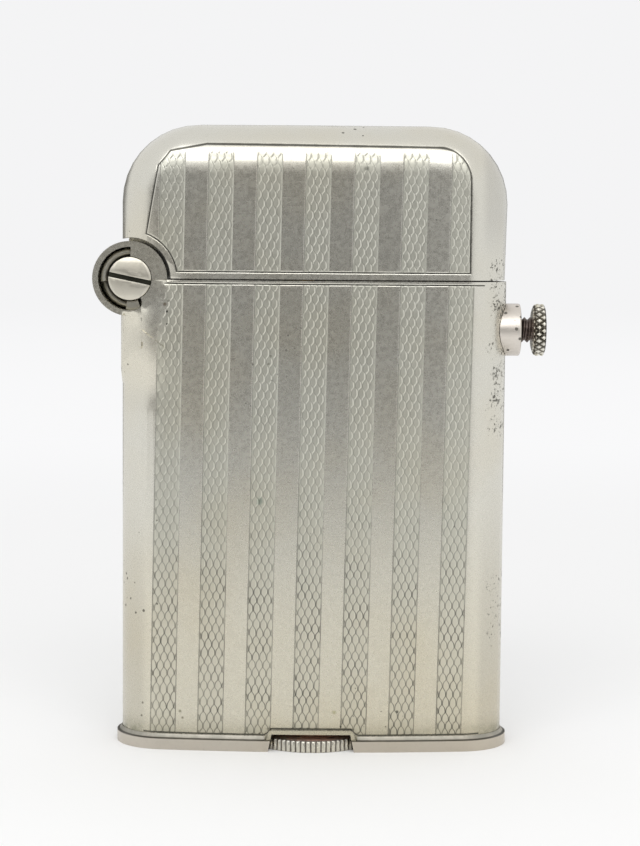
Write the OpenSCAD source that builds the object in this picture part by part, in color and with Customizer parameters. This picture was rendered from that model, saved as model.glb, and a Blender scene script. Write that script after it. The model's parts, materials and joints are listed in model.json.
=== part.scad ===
// Pocket lighter with a sprung lid, a side push-button and a knurled filler screw in its base.
// Millimetres. Front is -Y, +X is the button side, +Z is up.
// The origin is the centre of the underside, on the surface that the lighter stands on.

/* [Case] */
// Height from the underside of the base to the top of the lid
overall_h = 57; // [55:0.5:60]
// Width of the case across its rounded sides
case_w = 35.3; // [34.6:0.1:36.4]
// Depth of the case at its middle
case_d = 10; // [9.8:0.1:10.6]
// Radius of the slight bow of the front and back faces
face_bow_r = 120; // [100:5:180]
// Thickness of the sheet metal of case and lid
wall = 0.55; // [0.45:0.05:0.65]
// Height of the joint between case and lid
seam_z = 43; // [42.7:0.1:43.6]
// Open gap between case and lid along their joint
seam_gap = 0.13; // [0.08:0.01:0.2]

/* [Lid] */
// Radius of the two top corners, seen from the front
lid_corner_r = 7; // [6:0.1:7.6]
// Radius that rolls the faces over into the top
lid_roll_r = 3.9; // [3:0.1:4.2]

/* [Base] */
// Thickness of the foot flange
flange_h = 1; // [0.8:0.1:1.2]
// How far the foot flange stands out from the case
flange_reach = 0.5; // [0.3:0.05:0.8]
// Height of the cove between flange and case
cove_h = 0.4; // [0.3:0.05:0.9]
// Height of the plug of the base inside the case
plug_h = 1; // [0.8:0.1:1.4]
// Width of the finger notch at its foot
notch_w = 7.86; // [7:0.1:9]
// How much narrower the notch is at its top
notch_taper = 0.66; // [0.2:0.02:1]
// Height of the finger notch
notch_h = 1.55; // [1.5:0.05:1.65]
// How far the bead over the notch stands proud of the face
bead_reach = 0.18; // [0.08:0.01:0.2]
// Width of the bead over the notch
bead_w = 0.45; // [0.3:0.05:0.6]

/* [Filler screw] */
// Radius of the knurled wheel
filler_r = 5.8; // [5.6:0.1:6]
// Thickness of the knurled wheel
filler_h = 1.05; // [1:0.05:1.2]
// Number of teeth round the wheel
filler_teeth = 76; // [60:1:84]
// Radius of the threaded plug
filler_plug_r = 2.2; // [1.8:0.1:2.6]
// Length of the threaded plug above the wheel
filler_plug_len = 4; // [3:0.5:5]
// Wall of the threaded neck that takes the plug
neck_wall = 0.9; // [0.6:0.1:1.2]
// Thickness of the sealing washer
gasket_t = 0.26; // [0.2:0.02:0.32]

/* [Hinge] */
// Depth of the hinge axis inside the case's left side
hinge_inset = 1; // [0.75:0.05:1.15]
// Height of the hinge axis above the joint of case and lid
hinge_rise = 0.02; // [0:0.02:0.4]
// Outer radius of the two ears
ear_r = 3.38; // [3.3:0.02:3.5]
// Distance from the middle plane to the outer face of each ear
ear_face = 4.3; // [4.26:0.02:4.4]
// Thickness of the ear's front plate
ear_plate = 0.45; // [0.35:0.05:0.55]
// Radius of the spring cup inside the front ear
cup_r = 2.86; // [2.82:0.01:2.92]
// Thickness of the cup's bottom
cup_bottom = 0.35; // [0.25:0.05:0.45]
// Place of the inner face of the front ear, in front of the middle plane
front_ear_in = 0.85; // [0.75:0.05:0.95]
// Place of the inner face of the rear ear, behind the middle plane
rear_ear_in = 1.95; // [1.9:0.05:2.1]
// Radius of the lid's knuckle
knuckle_r = 3.3; // [3.2:0.02:3.34]
// Height of the soft blend from the front ear down to the rounded side
ear_blend_h = 6.5; // [4:0.5:9]
// Radius of the blend's edge on the rounded side
ear_blend_r = 2; // [1:0.1:2.6]
// Radial gap between the ears and the lid
ear_gap = 0.32; // [0.25:0.01:0.4]
// Radius of the hinge screw's shank
screw_r = 1.17; // [1:0.01:1.25]
// Radius of the hinge screw's head
head_r = 1.94; // [1.85:0.01:1.98]
// Height of the head's dome
head_dome = 0.2; // [0.1:0.02:0.3]
// Width of the screwdriver slot
slot_w = 0.42; // [0.3:0.02:0.6]
// Depth of the screwdriver slot
slot_depth = 0.4; // [0.3:0.05:0.5]
// Tilt of the screwdriver slot
slot_tilt = 11.6; // [-90:0.2:90]
// Outer radius of the bush that the lid turns on
bush_r = 1.7; // [1.6:0.02:1.78]

/* [Lid spring] */
// Radius of the wire
spring_wire_r = 0.34; // [0.3:0.01:0.36]
// Radius of the coil at the wire's centre
spring_coil_r = 2.38; // [2.36:0.01:2.42]
// Turns of the coil
spring_turns = 1.6; // [1.5:0.05:1.6]
// Rise of the coil in one turn
spring_pitch = 1.14; // [1.12:0.01:1.16]
// Angle of the wire's front end
spring_start = 172; // [150:1:180]

/* [Button] */
// Depth of the button's axis below the joint of case and lid
button_drop = 4.5; // [4.4:0.1:4.8]
// Radius of the collar
collar_r = 2.41; // [2.2:0.05:2.6]
// How far the collar stands out from the case
collar_reach = 1.3; // [0.9:0.05:1.3]
// Bore radius of the collar
collar_bore_r = 1.25; // [1.22:0.01:1.28]
// Clear gap between the collar and the knob
button_gap = 1.1; // [1.1:0.02:1.4]
// Radius of the knob
knob_r = 2.41; // [2.2:0.05:2.8]
// Thickness of the knob
knob_t = 1.2; // [1:0.05:1.6]
// Number of ridges round the knob
knob_ridges = 24; // [16:1:32]
// Radius of the stem
stem_r = 1.19; // [1.16:0.01:1.2]
// Depth of the stem's thread
thread_depth = 0.21; // [0.1:0.01:0.3]
// Pitch of the stem's thread
thread_pitch = 0.74; // [0.5:0.02:0.9]
// Travel of the button
button_travel = 0.8; // [0.6:0.05:0.9]

/* [Latch] */
// Depth of the lever's pivot below the button's axis
lever_arm = 4.3; // [4:0.1:4.6]
// Radius of the lever's pin
pin_r = 0.5; // [0.4:0.02:0.6]
// Thickness of the lever
lever_t = 0.9; // [0.7:0.05:1]
// Width of the lever along its pin
lever_w = 2.8; // [2.2:0.1:3.2]
// Reach of each catch nose
catch_reach = 0.4; // [0.3:0.05:0.45]
// Height of the catch noses
catch_h = 0.5; // [0.4:0.05:0.55]

/* [Spark works] */
// Distance of the spark wheel's axle from the hinge axis
wheel_reach = 7.35; // [7.15:0.05:7.45]
// Height of the spark wheel's axle above the hinge axis
wheel_rise = 2.3; // [2.3:0.05:2.5]
// Radius of the spark wheel
wheel_r = 2.8; // [2.6:0.05:2.85]
// Number of cutting teeth round the spark wheel
wheel_teeth = 44; // [30:1:60]
// Radius over the ratchet's teeth
ratchet_r = 2.1; // [1.8:0.05:2.15]
// Number of ratchet teeth
ratchet_teeth = 12; // [8:1:16]
// Thickness of the ratchet and its pawl
ratchet_t = 0.6; // [0.5:0.05:0.65]
// Radius of the axle
axle_r = 0.7; // [0.5:0.05:0.8]
// Radius of the flint
flint_r = 1.25; // [1.1:0.05:1.3]
// Length of the flint
flint_len = 5.6; // [4:0.2:7]
// Wall of the flint tube
flint_tube_wall = 0.38; // [0.3:0.02:0.45]
// Length of the flint tube's screw
flint_screw_len = 4.85; // [4:0.05:6]
// Thickness of the bracket's sheet
bracket_t = 0.45; // [0.35:0.05:0.5]

/* [Burner] */
// Place of the wick, left of the middle
wick_x = 1.5; // [1.3:0.1:1.8]
// Radius of the wick
wick_r = 1; // [0.8:0.05:1.08]
// Height of the wick's tip above the wick tube
wick_show = 1; // [0.6:0.1:1.2]
// Height of the wick tube above the deck
wick_tube_h = 4.4; // [4:0.1:4.8]
// Wall of the wick tube
wick_tube_wall = 0.35; // [0.25:0.05:0.45]
// Radius of the snuffer cap
snuffer_r = 2.3; // [2.25:0.05:2.5]
// Wall of the snuffer cap
snuffer_wall = 0.35; // [0.25:0.05:0.4]
// Thickness of the deck over the tank
deck_t = 0.5; // [0.4:0.05:0.6]
// Depth of the deck's top below the joint of case and lid
deck_drop = 1.2; // [1.1:0.05:1.3]

/* [Hidden] */
$fn = 64;

// Clearances
fit = 0.02;          // between pieces that are soldered or pressed together
run = 0.05;          // radial, round a pin or shaft that turns
side = 0.1;          // between faces that pass each other
soft_gap = 0.3;      // round the wadding
eps = 0.01;          // overshoot of a cut
far = 90;            // longer than any cut needs

// Half sizes of the case and what follows from them
half_w = case_w / 2;
half_d = case_d / 2;
case_top = seam_z - seam_gap / 2;
lid_foot = seam_z + seam_gap / 2;
hinge_z = seam_z + hinge_rise;
hinge_x = half_w - hinge_inset;
lid_cut_r = ear_r + ear_gap;
knuckle_room_r = knuckle_r + 0.3;
trough_t = 0.35;
trough_r = knuckle_room_r + trough_t;
cup_depth_in = ear_face - ear_plate;
cup_floor = front_ear_in + cup_bottom;
wheel_z = hinge_z + wheel_rise;
wheel_x = hinge_x - wheel_reach;
crescent_from = 88;
crescent_to = 284;
crescent_end_r = 0.6;

// Filler
recess_r = filler_r + 0.3;
recess_h = filler_h + gasket_t + 2 * fit;
filler_bore_r = filler_plug_r + 0.1;
plug_top = flange_h + plug_h;
neck_h = filler_plug_len + filler_h - plug_top + 1;
gasket_w = 1.5;
tooth_depth = 0.2;
tooth_edge = 0.12;
// Rings of the cove: how far each stands out from the case, and its height above the flange
cove_steps = [[0.84, 0], [0.42, 0.32], [0.12, 1]];

// Deck and what stands on it
deck_top = seam_z - deck_drop;
deck_foot = deck_top - deck_t;

// Hinge stack, from the front to the back
knuckle_front = -front_ear_in + side;
pawl_y = rear_ear_in - 1.5 * side - ratchet_t;
knuckle_back = pawl_y - side;
bush_front = -cup_depth_in + 2 * side;
bush_back = rear_ear_in - side;
head_back = bush_front - run;
head_room_r = head_r + 0.06;
strap_foot = hinge_z + 1;
strap_h = 5;
strap_reach = 2.3;
stop_angles = [262, 290];
stop_t = 0.7;

// Button
button_z = seam_z - button_drop;
collar_face = half_w + collar_reach;
knob_in = collar_face + button_gap;
knob_out = knob_in + knob_t;
tip_r = 1;
lever_in = 2.75;
lever_face = half_w - lever_in;
tip_centre = lever_face + 0.08 + tip_r;
collar_boss_r = 1.75;
clip_t = 0.3;
clip_r = stem_r + 0.22;
clip_in = 0.75;
clip_x = half_w - wall - clip_in;
pivot_in = 0.6;
pivot_x = lever_face - pivot_in;
pivot_z = button_z - lever_arm;
hook_foot = button_z + clip_r + 0.19;
hook_top = hook_foot + catch_h;
nose_foot = hook_top + side;
hook_face = lever_face + 2 * catch_reach + side;
hook_t = 0.5;
block_foot = lid_foot + 0.6;
block_h = 5.4;
housing_in = 6.45;
housing_x = half_w - housing_in;
housing_t = 0.4;
housing_depth = 3;
housing_foot = pivot_z - housing_depth;
latch_slot_back = 1.1;
latch_slot_side = 0.3;
eye_wall = 0.6;

// Spark works
wheel_half = 1.2;
ratchet_back = pawl_y + ratchet_t;
cheek_room = 0.7;
cheek_front = -wheel_half - cheek_room;
cheek_back = ratchet_back + 0.55;
cheek_r = 1.5;
cheek_foot = 2.2;
bracket_shank_r = 0.5;
bracket_head_r = 0.9;
bracket_head_h = 0.5;
flint_bore_r = flint_r + 0.12;
flint_tube_r = flint_bore_r + flint_tube_wall;
flint_tip = wheel_z - wheel_r - 0.1;
flint_foot = flint_tip - flint_len;
flint_tube_top = wheel_z - wheel_r - 0.05;
follower_h = 1.1;
bracket_reach = 2.7;
bracket_x0 = -wheel_x - bracket_reach;
bracket_x1 = -wick_x - 2;
bracket_screw_x = bracket_x1 - 1.15;
bracket_screw_y = 1.6;

// Burner and snuffer
wick_tube_top = deck_top + wick_tube_h;
wick_tube_in = wick_r + 0.1;
wick_tube_r = wick_tube_in + wick_tube_wall;
wick_tip = wick_tube_top + wick_show;
wick_foot = 14;
cap_below = 1.3;
cap_above = 1.35;
cap_foot = wick_tube_top - cap_below;
cap_top = wick_tip + cap_above;
pad_t = 0.6;
post_r = 0.9;
post_plate_r = 1.6;
post_plate_t = 0.5;
wadding_top = hinge_z - trough_r - 0.25;

// Pawl: its pin turns with the lid, and its nose lies just over the ratchet
pawl_pin_r = 0.4;
pawl_pin_reach = 2.75;
pawl_pin_angle = 60;
pawl_eye_r = 0.8;
pawl_arm_t = 0.7;
pawl_rise = 2.6;
pawl_pin_x = pawl_pin_reach * cos(pawl_pin_angle) - hinge_x;
pawl_pin_z = pawl_pin_reach * sin(pawl_pin_angle) + hinge_z;

// Springs
latch_wire_r = 0.13;
latch_coil_r = 0.75;
latch_turns = 3;
flint_wire_r = 0.15;
flint_turns = 14;

// Plan outline: two bowed faces joined by round ends that are tangent to them
END_STEPS = 20;
FACE_STEPS = 10;

function end_radius(a, b, bow) = (2 * bow * b - b * b - a * a) / (2 * (bow - a));

function arc(cx, cy, r, from, sweep, steps, first = 0, last = 0) =
    [for (i = [first : steps - last])
        [cx + r * cos(from + sweep * i / steps), cy + r * sin(from + sweep * i / steps)]];

// Outline for a half width a, a half depth b and the faces' bow radius
function plan(a, b, bow) =
    let (r = end_radius(a, b, bow), cx = a - r, lean = asin(cx / (bow - r)), turn = 2 * (90 - lean))
    concat(
        arc(cx, 0, r, lean - 90, turn, END_STEPS),
        arc(0, b - bow, bow, 90 - lean, 2 * lean, FACE_STEPS, 1, 1),
        arc(-cx, 0, r, 90 + lean, turn, END_STEPS),
        arc(0, bow - b, bow, 270 - lean, 2 * lean, FACE_STEPS, 1, 1));

// Outline of the case moved inwards by inset
function case_plan(inset) = plan(half_w - inset, half_d - inset, face_bow_r - inset);

module case_prism(inset, z0, z1)
    translate([0, 0, z0]) linear_extrude(z1 - z0) polygon(case_plan(inset));

// Solid through rings of equal point counts, from the lowest to the highest
module ringed(rings) {
    n = len(rings[0]);
    m = len(rings);
    points = [for (ring = rings) each ring];
    sides = [for (k = [0 : m - 2], i = [0 : n - 1])
        each [[k * n + i, (k + 1) * n + i, k * n + (i + 1) % n],
              [k * n + (i + 1) % n, (k + 1) * n + i, (k + 1) * n + (i + 1) % n]]];
    foot = [for (i = [1 : n - 2]) [0, i, i + 1]];
    top = [for (i = [1 : n - 2]) [(m - 1) * n, (m - 1) * n + i + 1, (m - 1) * n + i]];
    polyhedron(points = points, faces = concat(foot, sides, top));
}

function at_height(outline, z) = [for (p = outline) [p[0], p[1], z]];

module y_cylinder(r, y0, y1, x = 0, z = 0)
    translate([x, y0, z]) rotate([-90, 0, 0]) cylinder(r = r, h = y1 - y0);

module x_cylinder(r, x0, x1, y = 0, z = 0)
    translate([x0, y, z]) rotate([0, 90, 0]) cylinder(r = r, h = x1 - x0);

module z_cylinder(r, z0, z1, x = 0, y = 0)
    translate([x, y, z0]) cylinder(r = r, h = z1 - z0);

module tube(r_out, r_in, z0, z1, x = 0)
    difference() {
        z_cylinder(r_out, z0, z1, x);
        z_cylinder(r_in, z0 - 1, z1 + 1, x);
    }

module box(low, high) translate(low) cube(high - low);

// Extrudes a drawing in the XZ plane along Y
module along_y(y0, y1) translate([0, y1, 0]) rotate([90, 0, 0]) linear_extrude(y1 - y0) children();

// Cylinder about the hinge axis
module at_hinge(r, y0, y1) y_cylinder(r, y0, y1, -hinge_x, hinge_z);

// Toothed outline with pointed or flat-topped teeth
function teeth_outline(n, r_root, r_tip, tip_share) =
    [for (i = [0 : n - 1], k = [0 : 3])
        let (step = 360 / n,
             a = i * step + [0, 0.5 - tip_share, 0.5, 0.5 + tip_share][k] * step,
             r = [r_root, r_tip, r_tip, r_tip][k])
        [r * cos(a), r * sin(a)]];

// Saw-toothed outline
function saw_outline(n, r_root, r_tip) =
    [for (i = [0 : n - 1], k = [0, 1])
        let (a = 360 * (i + 0.12 * k) / n, r = k == 0 ? r_root : r_tip)
        [r * cos(a), r * sin(a)]];

// Wire springs: a six-sided tube through the points of a coil with a straight tail at each end.
// The tail runs along the tangent, square to the cut end of the wire.
RINGS_A_TURN = 8;

// Points along a coil about the X axis of its own frame, with the tails
function coil_path(coil_r, pitch, turns, tail, from) =
    let (n = round(turns * RINGS_A_TURN),
         body = [for (i = [0 : n])
             let (a = from + 360 * turns * i / n) [pitch * turns * i / n, coil_r * cos(a), coil_r * sin(a)]],
         start_dir = [0, sin(from), -cos(from)],
         a_end = from + 360 * turns,
         end_dir = [0, -sin(a_end), cos(a_end)])
    concat([body[0] + tail * start_dir], body, [body[n] + tail * end_dir]);

function unit(v) = v / norm(v);

function tangent(path, i) =
    let (n = len(path) - 1) unit(path[min(i + 1, n)] - path[max(i - 1, 0)]);

function tube_ring(path, i, r) =
    let (t = tangent(path, i),
         u = unit([1, 0, 0] - t[0] * t),
         v = cross(t, u))
    [for (k = [0 : 5]) path[i] + r * (cos(60 * k) * u + sin(60 * k) * v)];

module wire(path, r) ringed([for (i = [0 : len(path) - 1]) tube_ring(path, i, r)]);

// Least clear gap between turns, measured between points at least half a turn apart
function least_gap(path, r) =
    min([for (i = [0 : len(path) - 1], j = [0 : len(path) - 1])
        if (j - i >= RINGS_A_TURN * 0.6) norm(path[i] - path[j])]) - 2 * r;

lid_spring_path = coil_path(spring_coil_r, spring_pitch, spring_turns, 2 * spring_wire_r, -spring_start);

latch_spring_x0 = housing_x + housing_t + latch_wire_r + fit;
latch_spring_x1 = lever_face - lever_t - latch_wire_r - fit;
latch_pitch = (latch_spring_x1 - latch_spring_x0) / latch_turns;
latch_spring_path = coil_path(latch_coil_r, latch_pitch, latch_turns, 2 * latch_wire_r, 90);

flint_coil_r = flint_r - flint_wire_r - 0.1;
flint_spring_z0 = flint_screw_len + 0.15 + flint_wire_r + fit;
flint_spring_z1 = flint_foot - 2 * fit - follower_h - flint_wire_r;
flint_spring_path = coil_path(flint_coil_r, (flint_spring_z1 - flint_spring_z0) / flint_turns, flint_turns,
    2 * flint_wire_r, 0);

echo(flint_spring_least_gap = least_gap(flint_spring_path, flint_wire_r));
echo(lid_spring_least_gap = least_gap(lid_spring_path, spring_wire_r));
echo(latch_spring_least_gap = least_gap(latch_spring_path, latch_wire_r));

// Front view outline of the finger notch, grown by more
module notch_outline(more = 0) {
    foot = notch_w / 2 + more;
    top = (notch_w - notch_taper) / 2 + more;
    polygon([[-foot, -eps], [-top, notch_h + more], [top, notch_h + more], [foot, -eps]]);
}

module notch_cut() along_y(-far / 2, far / 2) notch_outline();

// Opening in the ear's front plate: the head's hole and the crescent that shows the spring
module ear_window() {
    circle(r = head_room_r);
    intersection() {
        circle(r = cup_r);
        polygon(concat([[0, 0]], [for (i = [0 : 8])
            let (a = crescent_from + (crescent_to - crescent_from) * i / 8)
            2 * cup_r * [cos(a), sin(a)]]));
    }
    translate((cup_r - crescent_end_r - run) * [cos(crescent_to), sin(crescent_to)])
        circle(r = crescent_end_r);
}

module ears() {
    at_hinge(ear_r, -ear_face, -front_ear_in);
    at_hinge(ear_r, rear_ear_in, ear_face);
}

// The case swells from its rounded side to the flat face of the front ear
module ear_blend() {
    sink = 0.06;
    slice = 0.02;
    foot = hinge_z - ear_r - ear_blend_h;
    left = sink - half_w;
    front = slice - ear_face;
    difference() {
        intersection() {
            hull() {
                at_hinge(ear_r, front, front + 0.3, $fn = 48);
                case_prism(sink, foot, foot + slice);
            }
            union() {
                box([left + ear_blend_r, -far, 0], [ear_r - hinge_x, -front_ear_in, case_top - eps]);
                box([left, front + ear_blend_r, 0], [ear_r - hinge_x, -front_ear_in, case_top - eps]);
                z_cylinder(ear_blend_r, 0, case_top - eps, left + ear_blend_r, front + ear_blend_r);
            }
        }
        case_prism(wall, 0, far);
    }
}

// Curved sheet that closes the tank under the lid's knuckle
module hinge_trough()
    intersection() {
        at_hinge(trough_r, -front_ear_in - eps, rear_ear_in + eps);
        case_prism(0, hinge_z - trough_r - 1, deck_top);
    }

module case_shell() color("silver") difference() {
    union() {
        difference() {
            case_prism(0, flange_h, case_top);
            case_prism(wall, flange_h - 1, case_top + 1);
        }
        ears();
        ear_blend();
        hinge_trough();
        intersection() {
            along_y(-far / 2, far / 2) notch_outline(bead_w);
            difference() {
                case_prism(-bead_reach, flange_h, notch_h + bead_w);
                case_prism(wall, flange_h - 1, notch_h + 2 * bead_w);
            }
        }
    }
    at_hinge(knuckle_room_r, -front_ear_in, rear_ear_in);
    at_hinge(cup_r, -cup_depth_in, -cup_floor);
    translate([-hinge_x, 0, hinge_z]) along_y(-far / 2, -cup_depth_in + eps) ear_window();
    at_hinge(bush_r + run, -cup_floor - 1, -front_ear_in + 1);
    at_hinge(screw_r + 0.03, rear_ear_in - 1, far / 2);
    z_cylinder(recess_r, 0, recess_h);
    notch_cut();
    x_cylinder(collar_boss_r + fit, half_w - 3, far, 0, button_z);
}

module base_plate() color("lightgray") difference() {
    union() {
        case_prism(-flange_reach, 0, flange_h);
        case_prism(wall + fit, 0, plug_top);
        difference() {
            ringed([for (s = cove_steps)
                at_height(case_plan(-flange_reach * s[0]), flange_h + cove_h * s[1] - eps)]);
            case_prism(-fit, 0, far);
        }
    }
    z_cylinder(recess_r, -1, recess_h);
    z_cylinder(filler_bore_r, 0, far);
    z_cylinder(flint_bore_r, -1, far, -wheel_x);
    along_y(-far / 2, far / 2) notch_outline(eps);
    intersection() {
        along_y(-far / 2, far / 2) notch_outline(bead_w + 2 * fit);
        box([-far / 2, -far / 2, flange_h], [far / 2, -half_d + wall + fit, far]);
    }
    intersection() {
        along_y(-far / 2, far / 2) notch_outline(bead_w + 2 * fit);
        box([-far / 2, half_d - wall - fit, flange_h], [far / 2, far / 2, far]);
    }
}

module filler_neck() color("goldenrod")
    tube(filler_bore_r + neck_wall, filler_bore_r, plug_top + fit, plug_top + fit + neck_h);

module filler_gasket() color("saddlebrown")
    tube(filler_bore_r + gasket_w, filler_bore_r, filler_h + fit, filler_h + fit + gasket_t);

module filler_screw() color("tan") {
    intersection() {
        linear_extrude(filler_h)
            polygon(teeth_outline(filler_teeth, filler_r - tooth_depth, filler_r, 0.16));
        rotate_extrude()
            polygon([[0, 0], [filler_r - tooth_edge, 0], [filler_r, tooth_edge],
                [filler_r, filler_h - tooth_edge], [filler_r - tooth_edge, filler_h], [0, filler_h]]);
    }
    z_cylinder(filler_plug_r, filler_h - eps, filler_h + filler_plug_len);
}

// Tank and deck
module deck_plate() color("khaki") difference() {
    case_prism(wall + fit, deck_foot, deck_top);
    at_hinge(trough_r + fit, -far / 2, far / 2);
    z_cylinder(flint_tube_r + fit, 0, far, -wheel_x);
    z_cylinder(wick_tube_r + fit, 0, far, -wick_x);
    box([lever_face - lever_t - latch_slot_back, -lever_w / 2 - latch_slot_side, 0],
        [half_w, lever_w / 2 + latch_slot_side, far]);
    for (s = [-1, 1]) z_cylinder(bracket_shank_r + fit, 0, far, bracket_screw_x, s * bracket_screw_y);
}

module latch_housing() color("khaki") intersection() {
    case_prism(wall + fit, housing_foot, deck_foot - fit);
    union() {
        box([housing_x, -far / 2, housing_foot], [housing_x + housing_t, far / 2, far]);
        box([housing_x, -far / 2, housing_foot], [far, far / 2, housing_foot + housing_t]);
    }
}

module tank_wadding() color("ivory") difference() {
    intersection() {
        case_prism(wall + soft_gap, plug_top + fit + neck_h + soft_gap, wadding_top);
        union() {
            box([-far, -far, 0], [housing_x - soft_gap, far, far]);
            box([-far, -far, 0], [far, far, housing_foot - soft_gap]);
        }
    }
    z_cylinder(flint_tube_r + soft_gap, 0, far, -wheel_x);
    z_cylinder(wick_tube_r + soft_gap, wick_foot - soft_gap, far, -wick_x);
}

module wick_tube() color("goldenrod")
    tube(wick_tube_r, wick_tube_in, deck_foot - 3, wick_tube_top, -wick_x);

module wick() color("antiquewhite") {
    tip = 0.35;
    z_cylinder(wick_r, wick_foot, wick_tip - tip, -wick_x);
    translate([-wick_x, 0, wick_tip - tip - eps])
        rotate_extrude() polygon([[0, 0], [wick_r, 0], [wick_r * 0.75, tip], [0, tip + eps]]);
}

// Flint column
module flint_tube() color("goldenrod") difference() {
    tube(flint_tube_r, flint_bore_r, plug_top + fit, flint_tube_top, -wheel_x);
    y_cylinder(wheel_r + 0.12, -far, far, -wheel_x, wheel_z);
}

module flint() color("dimgray") z_cylinder(flint_r, flint_foot, flint_tip, -wheel_x);

module flint_follower() color("goldenrod")
    z_cylinder(flint_r, flint_foot - fit - follower_h, flint_foot - fit, -wheel_x);

module flint_spring() color("gray")
    translate([-wheel_x, 0, flint_spring_z0]) rotate([0, -90, 0]) wire(flint_spring_path, flint_wire_r);

module flint_screw() color("goldenrod") difference() {
    z_cylinder(flint_bore_r - fit, 0.15, flint_screw_len + 0.15, -wheel_x);
    box([-wheel_x - 2, -slot_w / 2, 0], [-wheel_x + 2, slot_w / 2, 0.15 + slot_depth]);
}

// Spark wheel, its ratchet, axle and bracket
module wheel_bracket() color("lightgray") difference() {
    union() {
        box([bracket_x0, cheek_front - bracket_t, deck_top + fit],
            [bracket_x1, cheek_back + bracket_t, deck_top + fit + bracket_t]);
        for (y = [cheek_front - bracket_t, cheek_back])
            along_y(y, y + bracket_t) {
                translate([-wheel_x, wheel_z]) circle(r = cheek_r);
                polygon([[-wheel_x - cheek_r, wheel_z], [-wheel_x - cheek_foot, deck_top + fit],
                    [-wheel_x + cheek_foot, deck_top + fit], [-wheel_x + cheek_r, wheel_z]]);
            }
    }
    z_cylinder(flint_tube_r + fit, 0, deck_top + 2 * bracket_t, -wheel_x);
    y_cylinder(axle_r + fit / 2, -far, far, -wheel_x, wheel_z);
    for (s = [-1, 1]) z_cylinder(bracket_shank_r + fit, 0, far, bracket_screw_x, s * bracket_screw_y);
}

module bracket_screws() color("gray")
    for (s = [-1, 1]) translate([bracket_screw_x, s * bracket_screw_y, deck_top + 2 * fit + bracket_t])
        difference() {
            union() {
                cylinder(r = bracket_head_r, h = bracket_head_h);
                translate([0, 0, -bracket_t - deck_t - bracket_head_h])
                    cylinder(r = bracket_shank_r, h = bracket_t + deck_t + bracket_head_h + eps);
            }
            box([-far / 2, -0.12, bracket_head_h / 2], [far / 2, 0.12, far / 2]);
        }

module wheel_axle() color("gray") {
    y_cylinder(axle_r, cheek_front - bracket_t - 0.15, cheek_back + bracket_t + 0.15, -wheel_x, wheel_z);
}

module spark_wheel() color("dimgray") difference() {
    translate([-wheel_x, 0, wheel_z]) along_y(-wheel_half, pawl_y - fit)
        polygon(teeth_outline(wheel_teeth, wheel_r - 0.14, wheel_r, 0.14));
    y_cylinder(axle_r + run, -far, far, -wheel_x, wheel_z);
}

module ratchet_wheel() color("gray") difference() {
    translate([-wheel_x, 0, wheel_z]) along_y(pawl_y, ratchet_back)
        polygon(saw_outline(ratchet_teeth, ratchet_r - 0.35, ratchet_r));
    y_cylinder(axle_r + run, -far, far, -wheel_x, wheel_z);
}

// The arm arches over the ratchet, and its nose points down at the teeth
module drive_pawl() color("gray") difference() {
    nose_r = ratchet_r + 0.2;
    nose = [-wheel_x + nose_r * cos(80), wheel_z + nose_r * sin(80)];
    arm_foot = wheel_z + ratchet_r + 0.5;
    arm_top = arm_foot + pawl_arm_t;
    union() {
        y_cylinder(pawl_eye_r, pawl_y, ratchet_back, pawl_pin_x, pawl_pin_z);
        along_y(pawl_y, ratchet_back) polygon([
            [pawl_pin_x - 0.5, pawl_pin_z + 0.55], [pawl_pin_x + 1.5, pawl_pin_z + pawl_rise],
            [-wheel_x - 2.3, arm_top], [nose[0] + 0.1, arm_top], [nose[0] + 0.75, arm_top - 0.45],
            [nose[0] + 0.55, nose[1] + 0.15], nose, [nose[0] - 0.05, arm_foot],
            [-wheel_x - 2.1, arm_foot], [pawl_pin_x + 2.2, pawl_pin_z + pawl_rise - 0.4],
            [pawl_pin_x + 0.72, pawl_pin_z + 0.2]]);
    }
    y_cylinder(pawl_pin_r + run, -far, far, pawl_pin_x, pawl_pin_z);
}

// Hinge
module hinge_screw() color("silver") difference() {
    dome_r = (head_r * head_r + head_dome * head_dome) / (2 * head_dome);
    head_front = ear_face + head_dome;
    union() {
        intersection() {
            at_hinge(head_r, -head_front, head_back);
            translate([-hinge_x, -head_front + dome_r, hinge_z]) sphere(r = dome_r, $fn = 128);
        }
        at_hinge(screw_r, head_back - eps, ear_face - 0.1);
    }
    translate([-hinge_x, 0, hinge_z]) rotate([0, slot_tilt, 0])
        box([-far, -far, -slot_w / 2], [far, -head_front + slot_depth, slot_w / 2]);
}

module hinge_bush() color("goldenrod") difference() {
    at_hinge(bush_r, bush_front, bush_back);
    at_hinge(screw_r + run, -far, far);
}

// The coil's own X axis is laid along +Y, and it winds clockwise seen from the front
module lid_spring() color("gray")
    translate([-hinge_x, -cup_depth_in + spring_wire_r + 0.03, hinge_z])
        multmatrix([[0, 1, 0, 0], [1, 0, 0, 0], [0, 0, -1, 0]])
            wire(lid_spring_path, spring_wire_r);

module spring_stop() color("silver") {
    inner = head_r + side;
    outer = cup_r - fit;
    step = (stop_angles[1] - stop_angles[0]) / 4;
    translate([-hinge_x, 0, hinge_z]) along_y(-cup_depth_in + side, -cup_depth_in + side + stop_t)
        polygon(concat(
            [for (i = [0 : 4]) outer * dir2(stop_angles[0] + step * i)],
            [for (i = [0 : 4]) inner * dir2(stop_angles[1] - step * i)]));
}

module hinge_knuckle() color("silver") difference() {
    union() {
        at_hinge(knuckle_r, knuckle_front, knuckle_back);
        intersection() {
            box([-far, knuckle_front, strap_foot],
                [strap_reach - hinge_x, knuckle_back, strap_foot + strap_h]);
            lid_inside();
        }
    }
    at_hinge(bush_r + fit, -far, far);
    y_cylinder(pawl_pin_r + fit, -far, far, pawl_pin_x, pawl_pin_z);
}

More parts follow.
